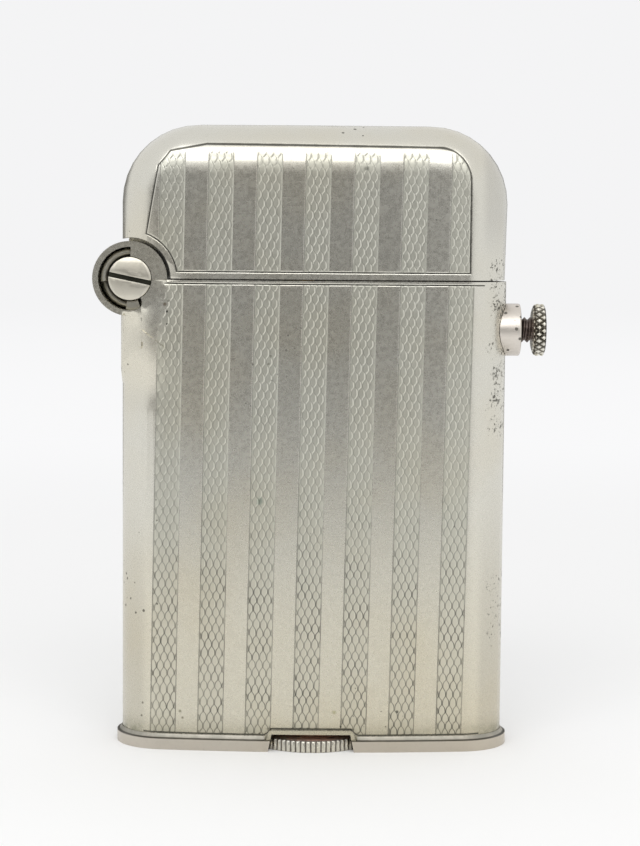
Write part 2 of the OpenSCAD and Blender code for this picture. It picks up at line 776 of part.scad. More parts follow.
module pawl_pin() color("gray")
    y_cylinder(pawl_pin_r, knuckle_front + 0.3, ratchet_back + 0.05, pawl_pin_x, pawl_pin_z);

// Lid: rings from the joint up through the corners and the rolled top edge
LID_STEPS = 9;

function dir2(a) = [cos(a), sin(a)];

function rolled(r, h) = r - sqrt(max(0, r * r - h * h));

function lid_ring(inset, z) =
    let (corner = rolled(lid_corner_r - inset, max(0, z - (overall_h - lid_corner_r))),
         roll = rolled(lid_roll_r - inset, max(0, z - (overall_h - lid_roll_r))))
    at_height(plan(half_w - inset - corner, half_d - inset - roll, face_bow_r - inset - roll), z);

module lid_solid(inset, foot)
    ringed(concat([lid_ring(inset, foot)], [for (i = [0 : LID_STEPS])
        lid_ring(inset, overall_h - lid_corner_r + (lid_corner_r - inset) * sin(90 * i / LID_STEPS))]));

// Room inside the lid for what is soldered to it
module lid_inside() lid_solid(wall + fit, lid_foot);

module lid_shell() color("silver") difference() {
    lid_solid(0, lid_foot);
    lid_solid(wall, lid_foot - 1);
    at_hinge(lid_cut_r, -far, far);
}

module lid_catch() color("gray") {
    w = lever_w - 2 * side;
    intersection() {
        box([hook_face, -w / 2, block_foot], [far, w / 2, block_foot + block_h]);
        lid_inside();
    }
    box([hook_face, -w / 2, hook_foot], [hook_face + hook_t, w / 2, block_foot + eps]);
    along_y(-w / 2, w / 2)
        polygon([[hook_face + eps, hook_foot], [hook_face - catch_reach, hook_top - 0.12],
            [hook_face - catch_reach, hook_top], [hook_face + eps, hook_top]]);
}

module snuffer_cap() color("goldenrod") difference() {
    z_cylinder(snuffer_r, cap_foot, cap_top, -wick_x);
    z_cylinder(snuffer_r - snuffer_wall, 0, cap_top - snuffer_wall, -wick_x);
}

module snuffer_post() color("goldenrod") {
    top = overall_h - wall - fit;
    z_cylinder(post_r, cap_top + fit, top, -wick_x);
    intersection() {
        z_cylinder(post_plate_r, top - post_plate_t, top, -wick_x);
        lid_inside();
    }
}

module snuffer_pad() color("saddlebrown") {
    top = cap_top - snuffer_wall - fit;
    z_cylinder(snuffer_r - snuffer_wall - fit, top - pad_t, top, -wick_x);
}

// Button
module button_collar() color("whitesmoke") difference() {
    edge = 0.12;
    union() {
        difference() {
            translate([half_w - 3, 0, button_z]) rotate([0, 90, 0]) rotate_extrude()
                polygon([[0, 0], [collar_r, 0], [collar_r, 3 + collar_reach - edge],
                    [collar_r - edge, 3 + collar_reach], [0, 3 + collar_reach]]);
            case_prism(-fit, 0, overall_h);
        }
        x_cylinder(collar_boss_r, half_w - wall - 0.15, half_w + collar_reach / 2, 0, button_z);
    }
    x_cylinder(collar_bore_r, 0, far, 0, button_z);
}

module button_knob() color("darkgray") difference() {
    edge = 0.2;
    shoulder = 0.35;
    translate([knob_in, 0, button_z]) rotate([0, 90, 0]) intersection() {
        rotate_extrude()
            polygon([[0, 0], [knob_r - shoulder, 0], [knob_r, shoulder], [knob_r, knob_t - edge],
                [knob_r - edge, knob_t], [0, knob_t]]);
        linear_extrude(knob_t) polygon(teeth_outline(knob_ridges, knob_r - 0.16, knob_r, 0.1));
    }
    x_cylinder(stem_r - thread_depth + fit, 0, knob_out - 0.35, 0, button_z);
}

// The thread is drawn as rings of its true depth and pitch
module button_stem() color("dimgray") {
    thread_x = collar_face - 0.3;
    root = stem_r - thread_depth;
    crest_half = 0.24;
    crests = floor((knob_in - thread_x - crest_half - fit) / thread_pitch);
    x_cylinder(stem_r, tip_centre, thread_x, 0, button_z);
    translate([tip_centre, 0, button_z]) sphere(r = tip_r);
    x_cylinder(root, thread_x - eps, knob_out - 0.4, 0, button_z);
    for (i = [1 : crests])
        translate([thread_x + i * thread_pitch, 0, button_z]) rotate([0, 90, 0]) rotate_extrude()
            polygon([[0, -crest_half], [root, -crest_half], [stem_r, -0.03], [stem_r, 0.03],
                [root, crest_half], [0, crest_half]]);
}

module stem_clip() color("gray") difference() {
    x_cylinder(clip_r, clip_x, clip_x + clip_t, 0, button_z);
    x_cylinder(stem_r + fit, 0, far, 0, button_z);
}

// Latch
module latch_lever() color("gray") difference() {
    eye_r = pin_r + eye_wall;
    along_y(-lever_w / 2, lever_w / 2) {
        translate([pivot_x, pivot_z]) circle(r = eye_r);
        polygon([[lever_face - lever_t, pivot_z], [lever_face, pivot_z], [lever_face, nose_foot],
            [lever_face + catch_reach, nose_foot], [lever_face + catch_reach, nose_foot + 0.15],
            [lever_face, nose_foot + catch_h], [lever_face - lever_t, nose_foot + catch_h]]);
    }
    y_cylinder(pin_r + run, -far, far, pivot_x, pivot_z);
}

module latch_pin() color("gray") intersection() {
    y_cylinder(pin_r, -far, far, pivot_x, pivot_z);
    case_prism(wall + fit, 0, overall_h);
}

module latch_spring() color("gray")
    translate([latch_spring_x0, 0, (button_z + pivot_z) / 2 + 0.4]) wire(latch_spring_path, latch_wire_r);

case_shell();
base_plate();
deck_plate();
latch_housing();
tank_wadding();
wick_tube();
wick();
flint_tube();
flint();
flint_follower();
flint_spring();
flint_screw();
filler_neck();
button_collar();
latch_pin();
latch_spring();
wheel_bracket();
bracket_screws();
wheel_axle();
hinge_screw();
lid_spring();
spring_stop();
lid_shell();
hinge_knuckle();
hinge_bush();
pawl_pin();
lid_catch();
snuffer_cap();
snuffer_post();
snuffer_pad();
drive_pawl();
spark_wheel();
ratchet_wheel();
button_knob();
button_stem();
stem_clip();
latch_lever();
filler_gasket();
filler_screw();
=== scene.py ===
"""Looks, stage and camera of the pocket lighter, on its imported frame.

Sizes are in millimetres unless a name or a comment says so, and materials see places in millimetres too.
"""
import json
import math

import bmesh
import bpy
import numpy as np
from mathutils import Matrix, Vector, noise
from mathutils.bvhtree import BVHTree

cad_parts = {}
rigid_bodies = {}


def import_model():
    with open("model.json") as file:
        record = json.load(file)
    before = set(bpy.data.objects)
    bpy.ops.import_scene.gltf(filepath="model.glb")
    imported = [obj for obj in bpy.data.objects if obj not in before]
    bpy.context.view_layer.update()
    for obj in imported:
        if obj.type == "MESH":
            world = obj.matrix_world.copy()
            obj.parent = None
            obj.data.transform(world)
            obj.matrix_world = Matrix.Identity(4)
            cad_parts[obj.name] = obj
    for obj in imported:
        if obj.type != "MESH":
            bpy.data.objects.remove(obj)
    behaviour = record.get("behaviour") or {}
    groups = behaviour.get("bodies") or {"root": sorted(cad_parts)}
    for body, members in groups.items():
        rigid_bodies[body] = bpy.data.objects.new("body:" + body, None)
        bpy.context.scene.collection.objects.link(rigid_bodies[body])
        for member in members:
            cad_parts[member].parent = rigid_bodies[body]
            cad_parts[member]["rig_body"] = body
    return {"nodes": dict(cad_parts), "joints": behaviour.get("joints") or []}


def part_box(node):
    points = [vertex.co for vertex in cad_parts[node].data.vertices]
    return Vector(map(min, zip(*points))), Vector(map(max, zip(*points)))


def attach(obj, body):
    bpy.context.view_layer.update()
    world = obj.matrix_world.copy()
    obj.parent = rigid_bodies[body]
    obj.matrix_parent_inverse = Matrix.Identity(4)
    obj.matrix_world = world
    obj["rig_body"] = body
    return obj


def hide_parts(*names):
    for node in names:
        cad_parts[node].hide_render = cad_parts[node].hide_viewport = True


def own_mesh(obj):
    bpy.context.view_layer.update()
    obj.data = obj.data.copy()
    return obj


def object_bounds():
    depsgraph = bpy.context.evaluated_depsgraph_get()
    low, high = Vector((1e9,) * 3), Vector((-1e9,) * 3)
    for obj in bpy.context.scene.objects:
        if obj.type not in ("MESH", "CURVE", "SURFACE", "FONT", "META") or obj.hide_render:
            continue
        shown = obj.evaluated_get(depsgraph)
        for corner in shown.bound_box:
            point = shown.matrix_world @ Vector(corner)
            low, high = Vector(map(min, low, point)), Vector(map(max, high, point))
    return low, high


bl_info = {
    "name": "Pocket Lighter Finish",
    "version": (1, 0, 0),
    "blender": (4, 5, 0),
    "location": "3D View > Sidebar > Lighter",
    "description": "Dresses the packed pocket lighter in worn nickel, brass and cotton, and sets its studio",
    "category": "Object",
}

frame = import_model()
CAD_BOX = [list(corner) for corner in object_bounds()]
MM = 0.001


def pivot(joint):
    """Place of a joint's axis in the front view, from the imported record."""
    row = next(j for j in frame["joints"] if j["name"] == joint)
    return row["pos_m"][0] / MM, row["pos_m"][2] / MM


def box_mm(node):
    """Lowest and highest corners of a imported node, in millimetres."""
    return [[value / MM for value in corner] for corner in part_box(node)]


HINGE_X, HINGE_Z = pivot("lid_hinge")

# The case's bowed faces, and the lid's rounded top
FACE_Y = 5.0
FACE_BOW = 240.0
FACE_SHEET = 0.3
LID_TOP = CAD_BOX[1][2] / MM
LID_ROLL = 3.9

# The seven engraved bands, which lean a little, and the columns of waves in each
BAND_MIDDLE_X = 0.14
BAND_UPRIGHT_Z = 40.7
BAND_LEAN = 0.0166
BANDS_EACH_SIDE = 3.5
BAND_COLUMNS = 7
BAND_SHIFT = 1.9
# Where dirt in the lines gives way to bare metal, going up
DIRT_FROM_Z, DIRT_TO_Z = 12.0, 27.0

# The waves, in columns: how far a line swings, leans and wanders, how far out lines are drawn, and an odd
# number that keeps the count of columns above zero
WAVE_SWING, WAVE_LEAN, WAVE_WANDER = 0.4, 0.6, 1.6
WAVY_REACH = 3.3
COLUMNS_ON = 43.0

# The lid's engraved border: its arc round the hinge, its bottom, its rounded right corner and its top, and a
# point with the inward direction of each straight side from the arc to the top
LID_ARC = 4.3
LID_BOTTOM = 43.7
LID_RIGHT = 14.05
LID_CORNER = 2.9
LID_BORDER_TOP = 55.05
LID_TOP_LEAN = 0.009
LID_SIDES = (((-14.1, 53.2), (0.985, -0.17533)), ((-14.0, 53.3), (0.772, -0.636)),
             ((-12.41, 54.63), (0.187, -0.982)))

# The body's engraved border: its top, its bottom beside and over the notch, and the ear that it leaves out
CASE_BORDER_TOP = 42.62
CASE_BOTTOM, NOTCH_BOTTOM = 1.5, 2.06
NOTCH_INNER, NOTCH_OUTER = 3.55, 4.35
EAR_RIGHT = -13.5
EAR_BOTTOM = 30.0

# Stains on the front: x, z, size and colour
SPOTS = ((4.6, 53.0, 0.3, (0.05, 0.045, 0.04)), (-4.75, 23.0, 0.42, (0.16, 0.24, 0.19)),
         (-13.45, 40.75, 0.24, (0.16, 0.1, 0.05)), (-12.0, 3.5, 0.2, (0.16, 0.16, 0.1)),
         (-11.8, 2.9, 0.16, (0.14, 0.13, 0.08)), (-15.5, 4.1, 0.13, (0.1, 0.09, 0.07)),
         (-15.6, 2.9, 0.12, (0.1, 0.09, 0.07)), (2.1, 3.6, 0.24, (0.4, 0.39, 0.24)))

# The angle past which an edge of the solids is broken, in degrees
EDGE_ANGLE = 40.0

# The soft zone under the ear: where it starts and where it is full, from each side and out from the screw
SOFT_LEFT, SOFT_RIGHT = (-17.3, -16.3), (-11.9, -12.9)
SOFT_BOTTOM, SOFT_TOP = (31.0, 33.0), (42.85, 42.7)
SOFT_ROUND = (3.0, 3.7)

# The rubbed part of the lid's side over the button: its side, its top and its depth
RUBBED_X, RUBBED_Z = 17.3, 46.6
RUBBED_DEPTH, RUBBED_WANDER = 0.15, 0.03

# The camera: place in metres, how far it looks down and rolls in degrees, and lens
CAMERA_PLACE = (0.00061, -0.2, 0.04711)
CAMERA_DOWN, CAMERA_ROLL = 4.97, 0.45
CAMERA_LENS = 121.93

# The studio in metres: the paper, the glowing cards in front and behind that paint a dim room's reflection
# in the metal, and the soft box with its radiance
PAPER_SIDE = 3.0
ROOM_AWAY, ROOM_MIDDLE_Z = 0.175, 0.05
ROOM_WIDTH, ROOM_HEIGHT = 0.6, 0.1
BOX_PLACE, BOX_TARGET = (-0.02, -0.375, 0.338), (0, 0, 0.055)
BOX_SIZE = (0.6, 0.31)
BOX_RADIANCE = 1.6


# Shading

class Value:
    """A shader value that takes plain arithmetic, where each sum or product is one Math node."""

    def __init__(self, nodes, socket):
        self.nodes = nodes
        self.socket = socket

    def math(self, operation, *others):
        return self.nodes.math(operation, self, *others)

    def __add__(self, other):
        return self.math("ADD", other)

    def __sub__(self, other):
        return self.math("SUBTRACT", other)

    def __rsub__(self, other):
        return self.nodes.math("SUBTRACT", other, self)

    def __mul__(self, other):
        return self.math("MULTIPLY", other)

    def __truediv__(self, other):
        return self.math("DIVIDE", other)

    def __mod__(self, other):
        return self.math("MODULO", other)

    def __pow__(self, other):
        return self.math("POWER", other)

    def __gt__(self, other):
        return self.math("GREATER_THAN", other)

    def __lt__(self, other):
        return self.math("LESS_THAN", other)

    def __abs__(self):
        return self.math("ABSOLUTE")

    def least(self, other):
        """The lower of two values."""
        return self.math("MINIMUM", other)

    def most(self, other):
        """The higher of two values."""
        return self.math("MAXIMUM", other)

    def step(self, low, high, to_low=0.0, to_high=1.0, kind="SMOOTHSTEP"):
        """Goes from to_low to to_high as the value goes from low to high."""
        made = self.nodes.node("ShaderNodeMapRange", interpolation_type=kind)
        for source, socket in zip((self, low, high, to_low, to_high), made.inputs):
            self.nodes.join(source, socket)
        return Value(self.nodes, made.outputs[0])

    def between(self, low, high, soft):
        """1 where the value lies between two limits, with soft ends."""
        return self.step(low - soft, low + soft) * self.step(high - soft, high + soft, 1.0, 0.0)


def span(a, b):
    """Length of the diagonal over two values."""
    return (a ** 2.0 + b ** 2.0).math("SQRT")


def shade(colour, *shares):
    """A colour times one share, or times one share for each channel."""
    return [c * s for c, s in zip(colour, shares * 3)]


class Shading:
    """An emptied node tree, with short ways to fill it."""

    def __init__(self, owner):
        owner.use_nodes = True
        self.tree = owner.node_tree
        self.tree.nodes.clear()

    def node(self, kind, **settings):
        made = self.tree.nodes.new(kind)
        for key, value in settings.items():
            setattr(made, key, value)
        return made

    def join(self, source, target):
        """Links a value or a socket, or sets a plain number or colour."""
        if isinstance(source, Value):
            source = source.socket
        if isinstance(source, bpy.types.NodeSocket):
            self.tree.links.new(source, target)
        elif isinstance(source, (int, float)):
            target.default_value = source
        else:
            target.default_value = (*source[:3], 1.0)

    def math(self, operation, *values):
        made = self.node("ShaderNodeMath", operation=operation)
        for value, socket in zip(values, made.inputs):
            self.join(value, socket)
        return Value(self, made.outputs[0])

    def blend(self, share, low, high, kind="MIX"):
        """Colour from low to high by a share."""
        made = self.node("ShaderNodeMix", data_type="RGBA", blend_type=kind)
        for source, socket in ((share, made.inputs[0]), (low, made.inputs[6]), (high, made.inputs[7])):
            self.join(source, socket)
        return made.outputs[2]

    def axes(self, place):
        """The three values of a place."""
        split = self.node("ShaderNodeSeparateXYZ")
        self.join(place, split.inputs["Vector"])
        return [Value(self, socket) for socket in split.outputs]

    def coloured(self, kind, colour):
        """A plain shader of one colour."""
        made = self.node(kind)
        self.join(colour, made.inputs["Color"])
        return made.outputs[0]

    def mixed(self, share, first, second):
        """Two shaders mixed by a share."""
        made = self.node("ShaderNodeMixShader")
        for source, socket in zip((share, first, second), made.inputs):
            self.join(source, socket)
        return made.outputs[0]


class Finish(Shading):
    """A material whose pattern is laid out in millimetres in the object's own space."""

    def __init__(self, name):
        self.material = bpy.data.materials.new(name)
        super().__init__(self.material)
        self.shader = self.node("ShaderNodeBsdfPrincipled")
        self.join(self.shader.outputs["BSDF"], self.node("ShaderNodeOutputMaterial").inputs["Surface"])
        mapping = self.node("ShaderNodeMapping")
        mapping.inputs["Scale"].default_value = (1 / MM, 1 / MM, 1 / MM)
        self.join(self.node("ShaderNodeTexCoord").outputs["Object"], mapping.inputs["Vector"])
        self.place = mapping.outputs["Vector"]
        self.x, self.y, self.z = self.axes(self.place)

    def stretched(self, x, y, z, turn=(0, 0, 0)):
        """The place with each axis scaled, and then turned by degrees."""
        turned = self.node("ShaderNodeMapping")
        turned.inputs["Rotation"].default_value = [math.radians(a) for a in turn]
        turned.inputs["Scale"].default_value = (x, y, z)
        self.join(self.place, turned.inputs["Vector"])
        return turned.outputs["Vector"]

    def noise(self, scale, detail, rough, place=None):
        made = self.node("ShaderNodeTexNoise")
        self.join(place or self.place, made.inputs["Vector"])
        for key, value in (("Scale", scale), ("Detail", detail), ("Roughness", rough)):
            self.join(value, made.inputs[key])
        return Value(self, made.outputs["Fac"])

    def cells(self, scale, place=None):
        """Distance to the middle of the nearest of many irregular cells."""
        made = self.node("ShaderNodeTexVoronoi")
        self.join(place or self.place, made.inputs["Vector"])
        self.join(scale, made.inputs["Scale"])
        return Value(self, made.outputs["Distance"])

    def close(self, colour, roughness, height, metallic=1.0):
        """Puts the colour, roughness and height in millimetres on the shader."""
        bump = self.node("ShaderNodeBump")
        for source, socket in ((MM, bump.inputs["Distance"]), (1.0, bump.inputs["Strength"]),
                               (height, bump.inputs["Height"]), (colour, self.shader.inputs["Base Color"]),
                               (roughness, self.shader.inputs["Roughness"]),
                               (metallic, self.shader.inputs["Metallic"]),
                               (bump.outputs["Normal"], self.shader.inputs["Normal"])):
            self.join(source, socket)
        return self.material


# Finishes

def pits(finish, scale, share):
    """Mask of small round pits: 1 inside. share is how many of the cells have one."""
    place = finish.stretched(1, 1, 1, (0, 13, 7))
    crowd = finish.noise(0.16, 2.0, 0.5, place)
    return finish.cells(scale, place) < crowd.step(0.62 - share, 0.86 - share, 0.0, 0.2)


def scratches(finish, turn, scale, share):
    """Mask of a few long, thin scratches along one direction."""
    grain = finish.noise(scale, 0.0, 0.4, finish.stretched(0.05, 1.0, 1.6, turn))
    gate = finish.noise(0.12, 1.0, 0.4, finish.stretched(1, 1, 1, turn))
    return abs(grain - 0.5).step(0.0, 0.004, 1.0, 0.0) * gate.step(0.6 - share, 0.66 - share)


def worn_nickel(finish, plate, tarnish, rough_low=0.24, rough_high=0.33, spots=0.1):
    """Colour, roughness and height of old nickel plate, before any engraving."""
    cloud = finish.noise(0.09, 3.0, 0.5)
    fine = finish.noise(2.6, 5.0, 0.7)
    brushed = finish.noise(1.0, 2.0, 0.6, finish.stretched(0.5, 0.5, 14.0))
    crowd = finish.noise(0.7, 3.0, 0.6)
    specks = finish.cells(5.5, finish.stretched(1, 1, 1, (5, 9, 3))) < crowd.step(0.5, 0.8, 0.0, 0.2)
    holes = pits(finish, 1.3, spots)
    marks = scratches(finish, (0, 38, 20), 1.1, 0.04).most(scratches(finish, (30, -58, 0), 0.9, 0.02))
    colour = finish.blend(cloud.step(0.4, 0.7, 0.0, 0.6), plate, shade(plate, 0.97, 0.93, 0.85))
    colour = finish.blend(fine.step(0.5, 0.85, 0.0, 0.16), colour, tarnish)
    colour = finish.blend(specks * 0.3, colour, shade(tarnish, 0.5))
    colour = finish.blend(holes * 0.8, colour, shade(tarnish, 0.32))
    rough = fine.step(0.3, 0.8, rough_low, rough_high) + holes * 0.3
    height = fine * 0.0022 + brushed * 0.0012 - holes * 0.035 - specks * 0.008 - marks * 0.0011
    return colour, rough, height


def pitted_edge(finish, colour, rough, height, dirt):
    """Corroded pits down the button's side of the case, and the stains by the foot and the ear."""
    upper = finish.z.between(28.0, 45.6, 1.4)
    lower = finish.z.between(8.0, 18.0, 2.0) * 0.8
    zone = finish.x.between(15.7, 18.5, 0.8) * upper.most(lower)
    ragged = finish.noise(3.4, 4.0, 0.7)
    level = ragged + finish.noise(0.55, 2.0, 0.5) * 0.5
    eaten = (level + zone * 0.32).step(1.13, 1.17) * (zone > 0.02)
    colour = finish.blend(eaten * 0.85, colour, dirt)
    stain = finish.z.step(1.4, 2.6, 1.0, 0.0) * finish.noise(0.9, 4.0, 0.65).step(0.35, 0.65)
    green = stain * abs(finish.x).step(12.0, 16.5, 0.25, 1.0) * 0.5
    colour = finish.blend(green, colour, (0.2, 0.23, 0.16))
    for x, z, size, tint in SPOTS:
        edge = span(finish.x - x, finish.z - z) + ragged * (size * 1.6)
        spot = edge.step(size * 0.9, size * 1.9, 0.75, 0.0) * (finish.y < 0.0)
        colour = finish.blend(spot, colour, tint)
    return colour, rough + eaten * 0.25, height - eaten * 0.08


def striped_lines(finish, sizes):
    """Engine-turned stripes: dirt in the lines, their height, and the bands' own area."""
    half = sizes.band_width / MM / 2
    pitch = sizes.band_pitch / MM
    width = sizes.line_width / MM
    depth = sizes.line_depth / MM
    across = finish.x - BAND_MIDDLE_X - (finish.z - BAND_UPRIGHT_Z) * BAND_LEAN
    count = (across / pitch).math("ROUND")
    offset = across - count * pitch
    seven = abs(count) < BANDS_EACH_SIDE
    inside = seven * (abs(offset) < half)
    foot = finish.z.step(DIRT_FROM_Z, DIRT_TO_Z, 1.0, 0.0)

    # Waves: each column's line swings to and fro as it goes up, and its neighbour swings the other way.
    column = 2 * half / BAND_COLUMNS
    t = offset / column
    shake = (finish.noise(0.8, 1.0, 0.3) - 0.5) * WAVE_WANDER
    fall = finish.z * (-2 * math.pi * MM / sizes.wave_length) + count * BAND_SHIFT + shake
    skew = fall.math("SINE") ** 2.0 * WAVE_LEAN
    swing = (fall + skew).math("COSINE") * WAVE_SWING
    above_zero = t + COLUMNS_ON
    beside = (above_zero.math("PINGPONG", 1.0) - 0.5 - swing) * column
    parity = above_zero.math("FLOOR") % 2.0
    drawn = abs(t) < WAVY_REACH
    thin = finish.z.step(DIRT_FROM_Z, DIRT_TO_Z, width * 0.48, width * 0.34)
    wavy_dirt = abs(beside).step(width * 0.15, thin, 1.0, 0.0) * drawn * (foot * 0.55 + 0.45)

    # Each line's cut has a bank on one side only, and is deep on one half of its wave.
    deep = (fall + parity * math.pi).math("COSINE").step(-0.75, 0.7, 0.1, 1.0)
    to_left = beside * (parity * 2.0 - 1.0)
    bank = to_left.step(0.0, width * 1.1, 1.0, 0.0, "LINEAR") * (to_left > -width * 0.1)
    wavy_cut = bank * deep * drawn

    # The band's own edges: a line on the left, and a small rise up to the plain strip on the right.
    left = abs(offset + half).step(width * 0.2, width * 0.6, 1.0, 0.0)
    right = abs(offset - half).step(width * 0.15, width * 0.5, 1.0, 0.0)
    dirt = wavy_dirt.most((left * (foot * 0.3 + 0.5)).most(right * (foot * 0.6 + 0.3)))
    rise = offset.step(half - 0.12, half, kind="LINEAR") * (offset < half)
    sunk = inside * (1.0 - rise)
    height = wavy_cut.most(left * 0.5) * (-1.25 * depth) + sunk * (-1.3 * depth)
    return dirt * seven, height * seven, inside


def on_the_faces(finish):
    """1 on the bowed front and back, 0 on the sheet's inner side."""
    rise = (finish.z - (LID_TOP - LID_ROLL)).most(0.0)
    rolled_in = LID_ROLL - (LID_ROLL ** 2 - rise * rise).math("SQRT")
    return abs(finish.y) + finish.x * finish.x / FACE_BOW + rolled_in > FACE_Y - FACE_SHEET


def lid_panel(finish):
    """Depth inside the lid's engraved border, where its bands are cut, and how heavy its border line is."""
    x, z = finish.x, finish.z
    depth = (span(x - HINGE_X, z - HINGE_Z) - LID_ARC).least(z - LID_BOTTOM)
    for (side_x, side_z), (inward_x, inward_z) in LID_SIDES:
        depth = depth.least((x - side_x) * inward_x + (z - side_z) * inward_z)
    over_x = (x - (LID_RIGHT - LID_CORNER)).most(0.0)
    over_z = (z - (LID_BORDER_TOP - x * LID_TOP_LEAN) + LID_CORNER).most(0.0)
    depth = depth.least(LID_CORNER - span(over_x, over_z))
    return depth, (depth > 0.02) * z.step(53.9, 54.7, 1.0, 0.0), z.step(54.3, 54.9, 1.0, 1.7)


def case_panel(finish):
    """Depth inside the body's engraved border, where its bands are cut, and where its line is drawn."""
    x, z = finish.x, finish.z
    bottom = abs(x).step(NOTCH_INNER, NOTCH_OUTER, NOTCH_BOTTOM, CASE_BOTTOM)
    depth = (CASE_BORDER_TOP - z).least(z - bottom)
    fade = span(x - HINGE_X, (z - HINGE_Z) * 0.45).step(2.9, 4.1)
    return depth, (depth > 0.02) * fade, (x > EAR_RIGHT).most(z < EAR_BOTTOM)


def toned_low_and_sides(finish, colour):
    """The nickel is made warmer and darker towards the foot, darker down the sides, and darker still along
    the foot's joint.
    """
    # Colour only: warmer and darker low down, darker at the sides and by the foot's joint
    low = finish.z.step(8.0, DIRT_TO_Z, 1.0, 0.0)
    colour = finish.blend(low, colour, (0.96, 0.93, 0.86), "MULTIPLY")
    lid_right = finish.z.step(44.0, 49.0) * (finish.x > 0.0)
    side = abs(finish.x).step(14.9, 15.8) * low.most(lid_right)
    colour = finish.blend(side, colour, (0.87, 0.87, 0.88), "MULTIPLY")
    return finish.blend(finish.z.step(0.9, 3.6, 1.0, 0.0), colour, (0.78, 0.77, 0.73), "MULTIPLY")


def engraved_nickel(name, panel, colours, sizes):
    """Worn nickel plate with the engine-turned stripes inside a border line."""
    finish = Finish(name)
    colour, rough, height = worn_nickel(finish, colours.nickel, colours.tarnish)
    colour, rough, height = pitted_edge(finish, colour, rough, height, shade(colours.tarnish, 0.3))
    colour = toned_low_and_sides(finish, colour)
    dirt, relief, inside = striped_lines(finish, sizes)
    depth, bands, heavy = panel(finish)
    face = on_the_faces(finish)
    bands = bands * face
    wander = (finish.noise(0.7, 2.0, 0.5) - 0.5) * 0.05
    away = abs(abs(depth) / heavy.most(0.01) + wander)
    width = sizes.line_width / MM
    drawn = face * (heavy > 0.5)
    border = away.step(width * 0.3, width * 0.75, 1.0, 0.0) * drawn
    groove = away.step(width * 0.3, width * 1.3, 1.0, 0.0) * drawn * finish.z.step(53.6, 54.3, 1.0, 0.2)
    worn = finish.noise(0.45, 3.0, 0.6).step(0.3, 0.62, 1.0, 0.62)
    dark = (dirt * worn * bands).most(border)
    matt = inside * bands
    colour = finish.blend(matt * finish.z.step(8.0, 24.0, 0.1, 0.32), colour, (0.5, 0.515, 0.42))
    colour = finish.blend(dark * 0.94, colour, shade(colours.tarnish, 0.22))
    height = height + relief * bands - groove * (0.4 * sizes.line_depth / MM)
    return finish.close(colour, rough + matt * 0.08, height)


def plain_nickel(name, plate, tarnish, rough_low=0.24, rough_high=0.34, spots=0.1):
    """Worn nickel plate and nothing else."""
    finish = Finish(name)
    return finish.close(*worn_nickel(finish, plate, tarnish, rough_low, rough_high, spots))


def foot_nickel(name, colours):
    """Nickel of the foot, with its cove darkened: partly packed dirt, partly painted shade that dims the
    cove's reflection.
    """
    finish = Finish(name)
    colour, rough, height = worn_nickel(finish, colours.nickel, colours.tarnish, 0.28, 0.4)
    colour = finish.blend(0.16, colour, (0.62, 0.53, 0.47))
    colour = finish.blend(1.0, colour, (0.84, 0.81, 0.79), "MULTIPLY")
    cove = finish.z.between(1.03, 1.6, 0.03)
    packed_dirt_and_shade = finish.noise(1.2, 3.0, 0.6).step(0.25, 0.7, 0.45, 0.9)
    # Painted shade with dirt: the cove is darkened so that it mirrors less of the soft box
    colour = finish.blend(cove * packed_dirt_and_shade, colour, colours.tarnish)
    line = finish.z.between(0.985, 1.09, 0.025)
    colour = finish.blend(line * 0.85, colour, shade(colours.tarnish, 0.25))
    return finish.close(colour, rough + cove * 0.14, height)


def slotted_nickel(name, colours):
    """Bright nickel of the hinge screw, with its slot darkened almost to black: partly dirt, partly painted
    shade.
    """
    finish = Finish(name)
    plate = shade(colours.bright, 0.84)
    colour, rough, height = worn_nickel(finish, plate, colours.tarnish, 0.33, 0.44, 0.16)
    tilt, half, bottom = math.radians(11.6), 0.2, -4.36
    across = (finish.x - HINGE_X) * math.sin(tilt) + (finish.z - HINGE_Z) * math.cos(tilt)
    # Painted shade with dirt: the slot's walls and floor are darkened almost to black
    slot = abs(across).step(half, half + 0.04, 1.0, 0.0) * finish.y.step(bottom, bottom + 0.08)
    colour = finish.blend(slot * 0.97, colour, (0.035, 0.036, 0.026))
    return finish.close(colour, rough + slot * 0.35, height)


def knurled_nickel(name, colours):
    """Dull nickel of the knob, with the bottom of its knurl darkened: partly dirt, partly painted shade."""
    finish = Finish(name)
    colour, rough, height = worn_nickel(finish, colours.bright, colours.tarnish, 0.22, 0.34, 0.12)
    low, high = box_mm("button_knob")
    outer = (high[2] - low[2]) / 2
    radius = span(finish.y, finish.z - (low[2] + high[2]) / 2)
    # Painted shade with dirt: a ring at the depth of the knurl's grooves goes almost black
    ring = radius.step(outer - 0.17, outer - 0.05, 1.0, 0.0) * radius.step(outer - 0.45, outer - 0.3)
    colour = finish.blend(ring * 0.92, colour, (0.07, 0.06, 0.045))
    return finish.close(colour, rough, height)


def worn_wheel_metal(name, colours):
    """Nickel worn through to copper on the flat faces, with the gaps between the teeth darkened: partly
    dirt, partly painted shade.
    """
    finish = Finish(name)
    colour, rough, height = worn_nickel(finish, colours.nickel, colours.tarnish, 0.25, 0.4)
    radius = span(finish.x, finish.y)
    worn_to, teeth_from, teeth_to = 5.45, 5.62, 5.74
    flat = radius.step(worn_to, teeth_from, 1.0, 0.0)
    patch = finish.noise(0.6, 4.0, 0.6).step(0.3, 0.55)
    colour = finish.blend(flat * patch, colour, colours.copper)
    # Painted shade with dirt: the roots of the teeth go almost black
    root = radius.step(teeth_from, teeth_to, 1.0, 0.0) * (1.0 - flat)
    colour = finish.blend(root * 0.9, colour, (0.05, 0.035, 0.03))
    return finish.close(colour, rough + flat * 0.25, height)


